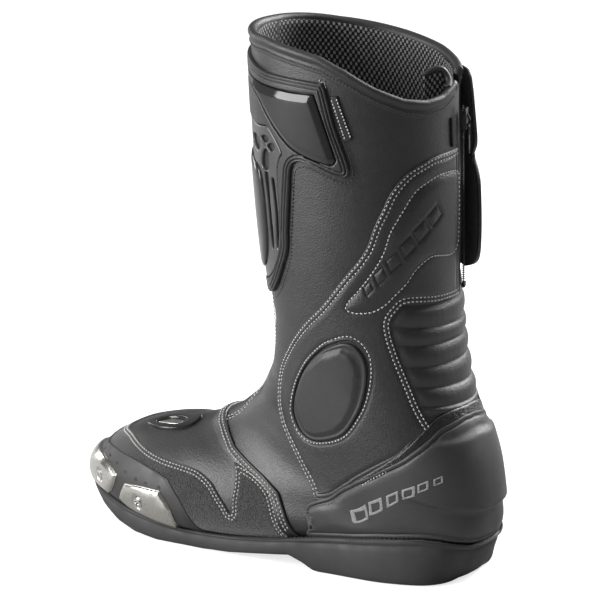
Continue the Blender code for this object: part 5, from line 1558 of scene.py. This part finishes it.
tape = skin("zip_tape_strip", TAPE, steps(194.2, 207.8, .8), shaft_rim(.3), ring_line(4.75), 60, -.75, -1.5)
place(tape, "shaft", "zip_tape", "zip_tape")
COIL_PITCH = 1.35
parts = []
for i in range(int(LENGTH / COIL_PITCH)):
    for hand in (-1, 1):
        at = zip_top + DOWN * (1.0 + i * COIL_PITCH + .34 * hand) + OUT * .95
        path = at + np.outer(np.linspace(-.3, 2.2, 5), SIDE * hand) + np.outer([0, .25, .3, .2, -.35], OUT)
        parts.append(tube(path, (.32, .42, .42, .42, .36), 8))
place(build("zip_coil", *joined(parts), TAPE), "shaft", "zip_tape", "zip_teeth")


def block(centre, size, bevel, name, mat, segments=3, taper=0.0):
    """A rounded block on the zip's own axes: side, down, out."""
    bm = bmesh.new()
    bmesh.ops.create_cube(bm, size=1.0)
    for v in bm.verts:
        k = 1 - taper * (v.co.y + .5)
        v.co = Vector((v.co.x * size[0] * k, v.co.y * size[1], v.co.z * size[2]))
    bmesh.ops.bevel(bm, geom=bm.edges[:], offset=bevel, segments=segments, profile=.6, affect="EDGES")
    pts = np.array([tuple(v.co) for v in bm.verts])
    fcs = [[v.index for v in f.verts] for f in bm.faces]
    bm.verts.index_update()
    bm.free()
    return build(name, centre + pts @ np.array([SIDE, DOWN, OUT]), fcs, mat)


stop = block(zip_end + DOWN * 2.4 + OUT * 1.2, (6.0, 3.0, 2.0), .5, "zip_end_stop", ZIP_METAL)
place(stop, "shaft", "steel", "zip_stop")
SLIDER_AT = zip_top + DOWN * 8.0
slider = block(SLIDER_AT + OUT * 3.0, (9.2, 13.0, 1.5), .6, "zip_slider_roof", ZIP_METAL, 4, .22)
place(slider, "zip_slider", "nickel", "zip_slider")
for hand, label in ((-1, "a"), (1, "b")):
    lip = block(SLIDER_AT + SIDE * hand * 3.7 + OUT * 1.45, (1.5, 11.5, 2.6), .45,
                "zip_slider_lip_" + label, ZIP_METAL)
    place(lip, "zip_slider", "nickel")
PULL_AT = SLIDER_AT + DOWN * 4.5 + OUT * 4.7
BRIDGE = ((-2.5, 3.6), (-1.5, 4.6), (.5, 5.35), (2.5, 5.3), (3.6, 4.4), (3.9, 3.6))
bridge = np.array([SLIDER_AT + DOWN * y + OUT * z for y, z in BRIDGE])
place(build("zip_slider_bridge", *tube(bridge, .7, 10), ZIP_METAL), "zip_slider", "nickel")
turn = np.linspace(0, 2 * math.pi, 49)[:-1]
half_width = 2.3 - .45 * np.sin(turn)
to_side = np.sign(np.cos(turn)) * np.abs(np.cos(turn)) ** .45 * half_width
pull_path = PULL_AT + np.outer(8.0 + 8.3 * np.sin(turn), DOWN) + np.outer(to_side, SIDE)
pull = build("zip_pull_loop", *tube(pull_path, .58, 10, closed=True), ZIP_METAL)
place(pull, "zip_pull", "nickel", "zip_pull")
tongue = block(PULL_AT + DOWN * 10.5, (3.6, 10.0, .7), .3, "zip_pull_tongue", BUMPER)
place(tongue, "zip_pull", "rubber_grip")

HOOK = [(1.05, 186.5, 1), (1.05, 192, 1), (1.55, 192, 1), (1.55, 186.5, 1)]
hook = panel("hook_strip", VELVET, curve(HOOK, closed=True), [(0, -.1), (.15, .5), (.4, .7), (2, .7)],
             base=.5, step=2.0)
place(hook, "shaft", "velvet", "hook_patch")
GRIP = [(2.3, 236, 1), (2.25, 250), (2.3, 270), (2.55, 283, 1), (3.2, 284), (3.7, 276), (3.78, 256),
        (3.6, 240, 1), (3.0, 235)]
grip = panel("calf_grip_inside", BUMPER, curve(GRIP, closed=True),
             [(0, -.2), (.15, .6), (.5, 1.1), (1.0, 1.4), (1.8, 1.4), (2.4, 1.0), (3.0, 1.4)],
             base=.2, step=1.6, relief=lambda s, d: .45 * np.abs(np.sin(s * 17.5 + d * .16)))
place(grip, "shaft", "rubber_grip", "calf_overlay_medial")

# parts inside the walls keep their own shape and get finished materials
INNER = {"insole_board": TAPE, "steel_shank": STEEL, "footbed": FOAM, "toe_stiffener": TAPE,
         "heel_stiffener": TAPE, "ankle_foam_lateral": FOAM, "ankle_foam_medial": FOAM,
         "shin_pad": FOAM, "calf_pad_lateral": FOAM}
for node, look in INNER.items():
    obj = frame["nodes"][node]
    for slot in obj.material_slots:
        slot.material = look

# ------------------------------------------------------------ camera and light
# the camera's axes before the small turn by AIM_SIDE and AIM_UP (tangents), and where it stands, in metres
RIGHT = np.array((-.58779, .80733, -.05221))
UP = np.array((-.23653, -.10978, .9654))
BACK = np.array((.77367, .5798, .25549))
AIM_SIDE, AIM_UP = -.015625, .0096875
EYE = np.array((0.0, 0.05488, 0.145587)) + BACK * 2.0

look_back = BACK - RIGHT * AIM_SIDE - UP * AIM_UP
look_back /= np.linalg.norm(look_back)
look_right = RIGHT - look_back * (RIGHT @ look_back)
look_right /= np.linalg.norm(look_right)
look_up_axis = np.cross(look_back, look_right)
cam = bpy.data.cameras.new("camera")
cam.lens = 192.0
cam.sensor_width = 36.0
cam.clip_end = 50.0
camera = bpy.data.objects.new("camera", cam)
turned = Matrix([[look_right[i], look_up_axis[i], look_back[i], EYE[i]] for i in range(3)] + [[0, 0, 0, 1]])
camera.matrix_world = turned
bpy.context.scene.collection.objects.link(camera)
bpy.context.scene.camera = camera
bpy.context.scene.view_settings.view_transform = "Standard"

floor_mesh = bpy.data.meshes.new("floor")
bm = bmesh.new()
bmesh.ops.create_grid(bm, x_segments=1, y_segments=1, size=6.0)
bm.to_mesh(floor_mesh)
bm.free()
floor = bpy.data.objects.new("floor", floor_mesh)
floor.location = (0, 0, -0.0004)
bpy.context.scene.collection.objects.link(floor)
pale = Look("floor_pale", 0.0, .9, Specular_IOR_Level=.1)
pale.color(pale.mix(pale.remap(pale.noise(3), .3, .7), grey(.46), grey(.49)))
# floor and world look white to the camera and light the boot only weakly
seen = pale.node("ShaderNodeLightPath").outputs["Is Camera Ray"]
pale.shader.inputs["Emission Color"].default_value = (1, 1, 1, 1)
pale.tree.links.new(pale.math("MULTIPLY", seen, .72), pale.shader.inputs["Emission Strength"])
floor_mesh.materials.append(pale.mat)

sky = bpy.data.worlds.new("studio")
bpy.context.scene.world = sky
sky.use_nodes = True
background = sky.node_tree.nodes["Background"]
background.inputs["Color"].default_value = (1, 1, 1, 1)
light_path = sky.node_tree.nodes.new("ShaderNodeLightPath")
level = sky.node_tree.nodes.new("ShaderNodeMapRange")
level.inputs["To Min"].default_value, level.inputs["To Max"].default_value = .25, 1.0
sky.node_tree.links.new(light_path.outputs["Is Camera Ray"], level.inputs["Value"])
sky.node_tree.links.new(level.outputs["Result"], background.inputs["Strength"])


def softbox(name, place_at, aim, size, power, tall=None):
    """A rectangular light of so many watts, turned to its aim."""
    lamp = bpy.data.lights.new(name, "AREA")
    lamp.energy = power
    lamp.shape = "RECTANGLE"
    lamp.size, lamp.size_y = size, tall or size
    obj = bpy.data.objects.new(name, lamp)
    obj.location = place_at
    obj.rotation_euler = (Vector(place_at) - Vector(aim)).to_track_quat("Z", "Y").to_euler()
    bpy.context.scene.collection.objects.link(obj)


softbox("key_side", (1.6, -1.3, .8), (0, 0, .18), 1.1, 82, 1.5)
softbox("rim_back", (-1.6, .55, 1.15), (0, .05, .25), .8, 62, 1.0)
softbox("strip_front", (-.3, -1.9, .7), (0, 0, .15), .4, 9, 1.4)
softbox("top", (.2, .1, 1.9), (0, .05, .15), 1.4, 10)
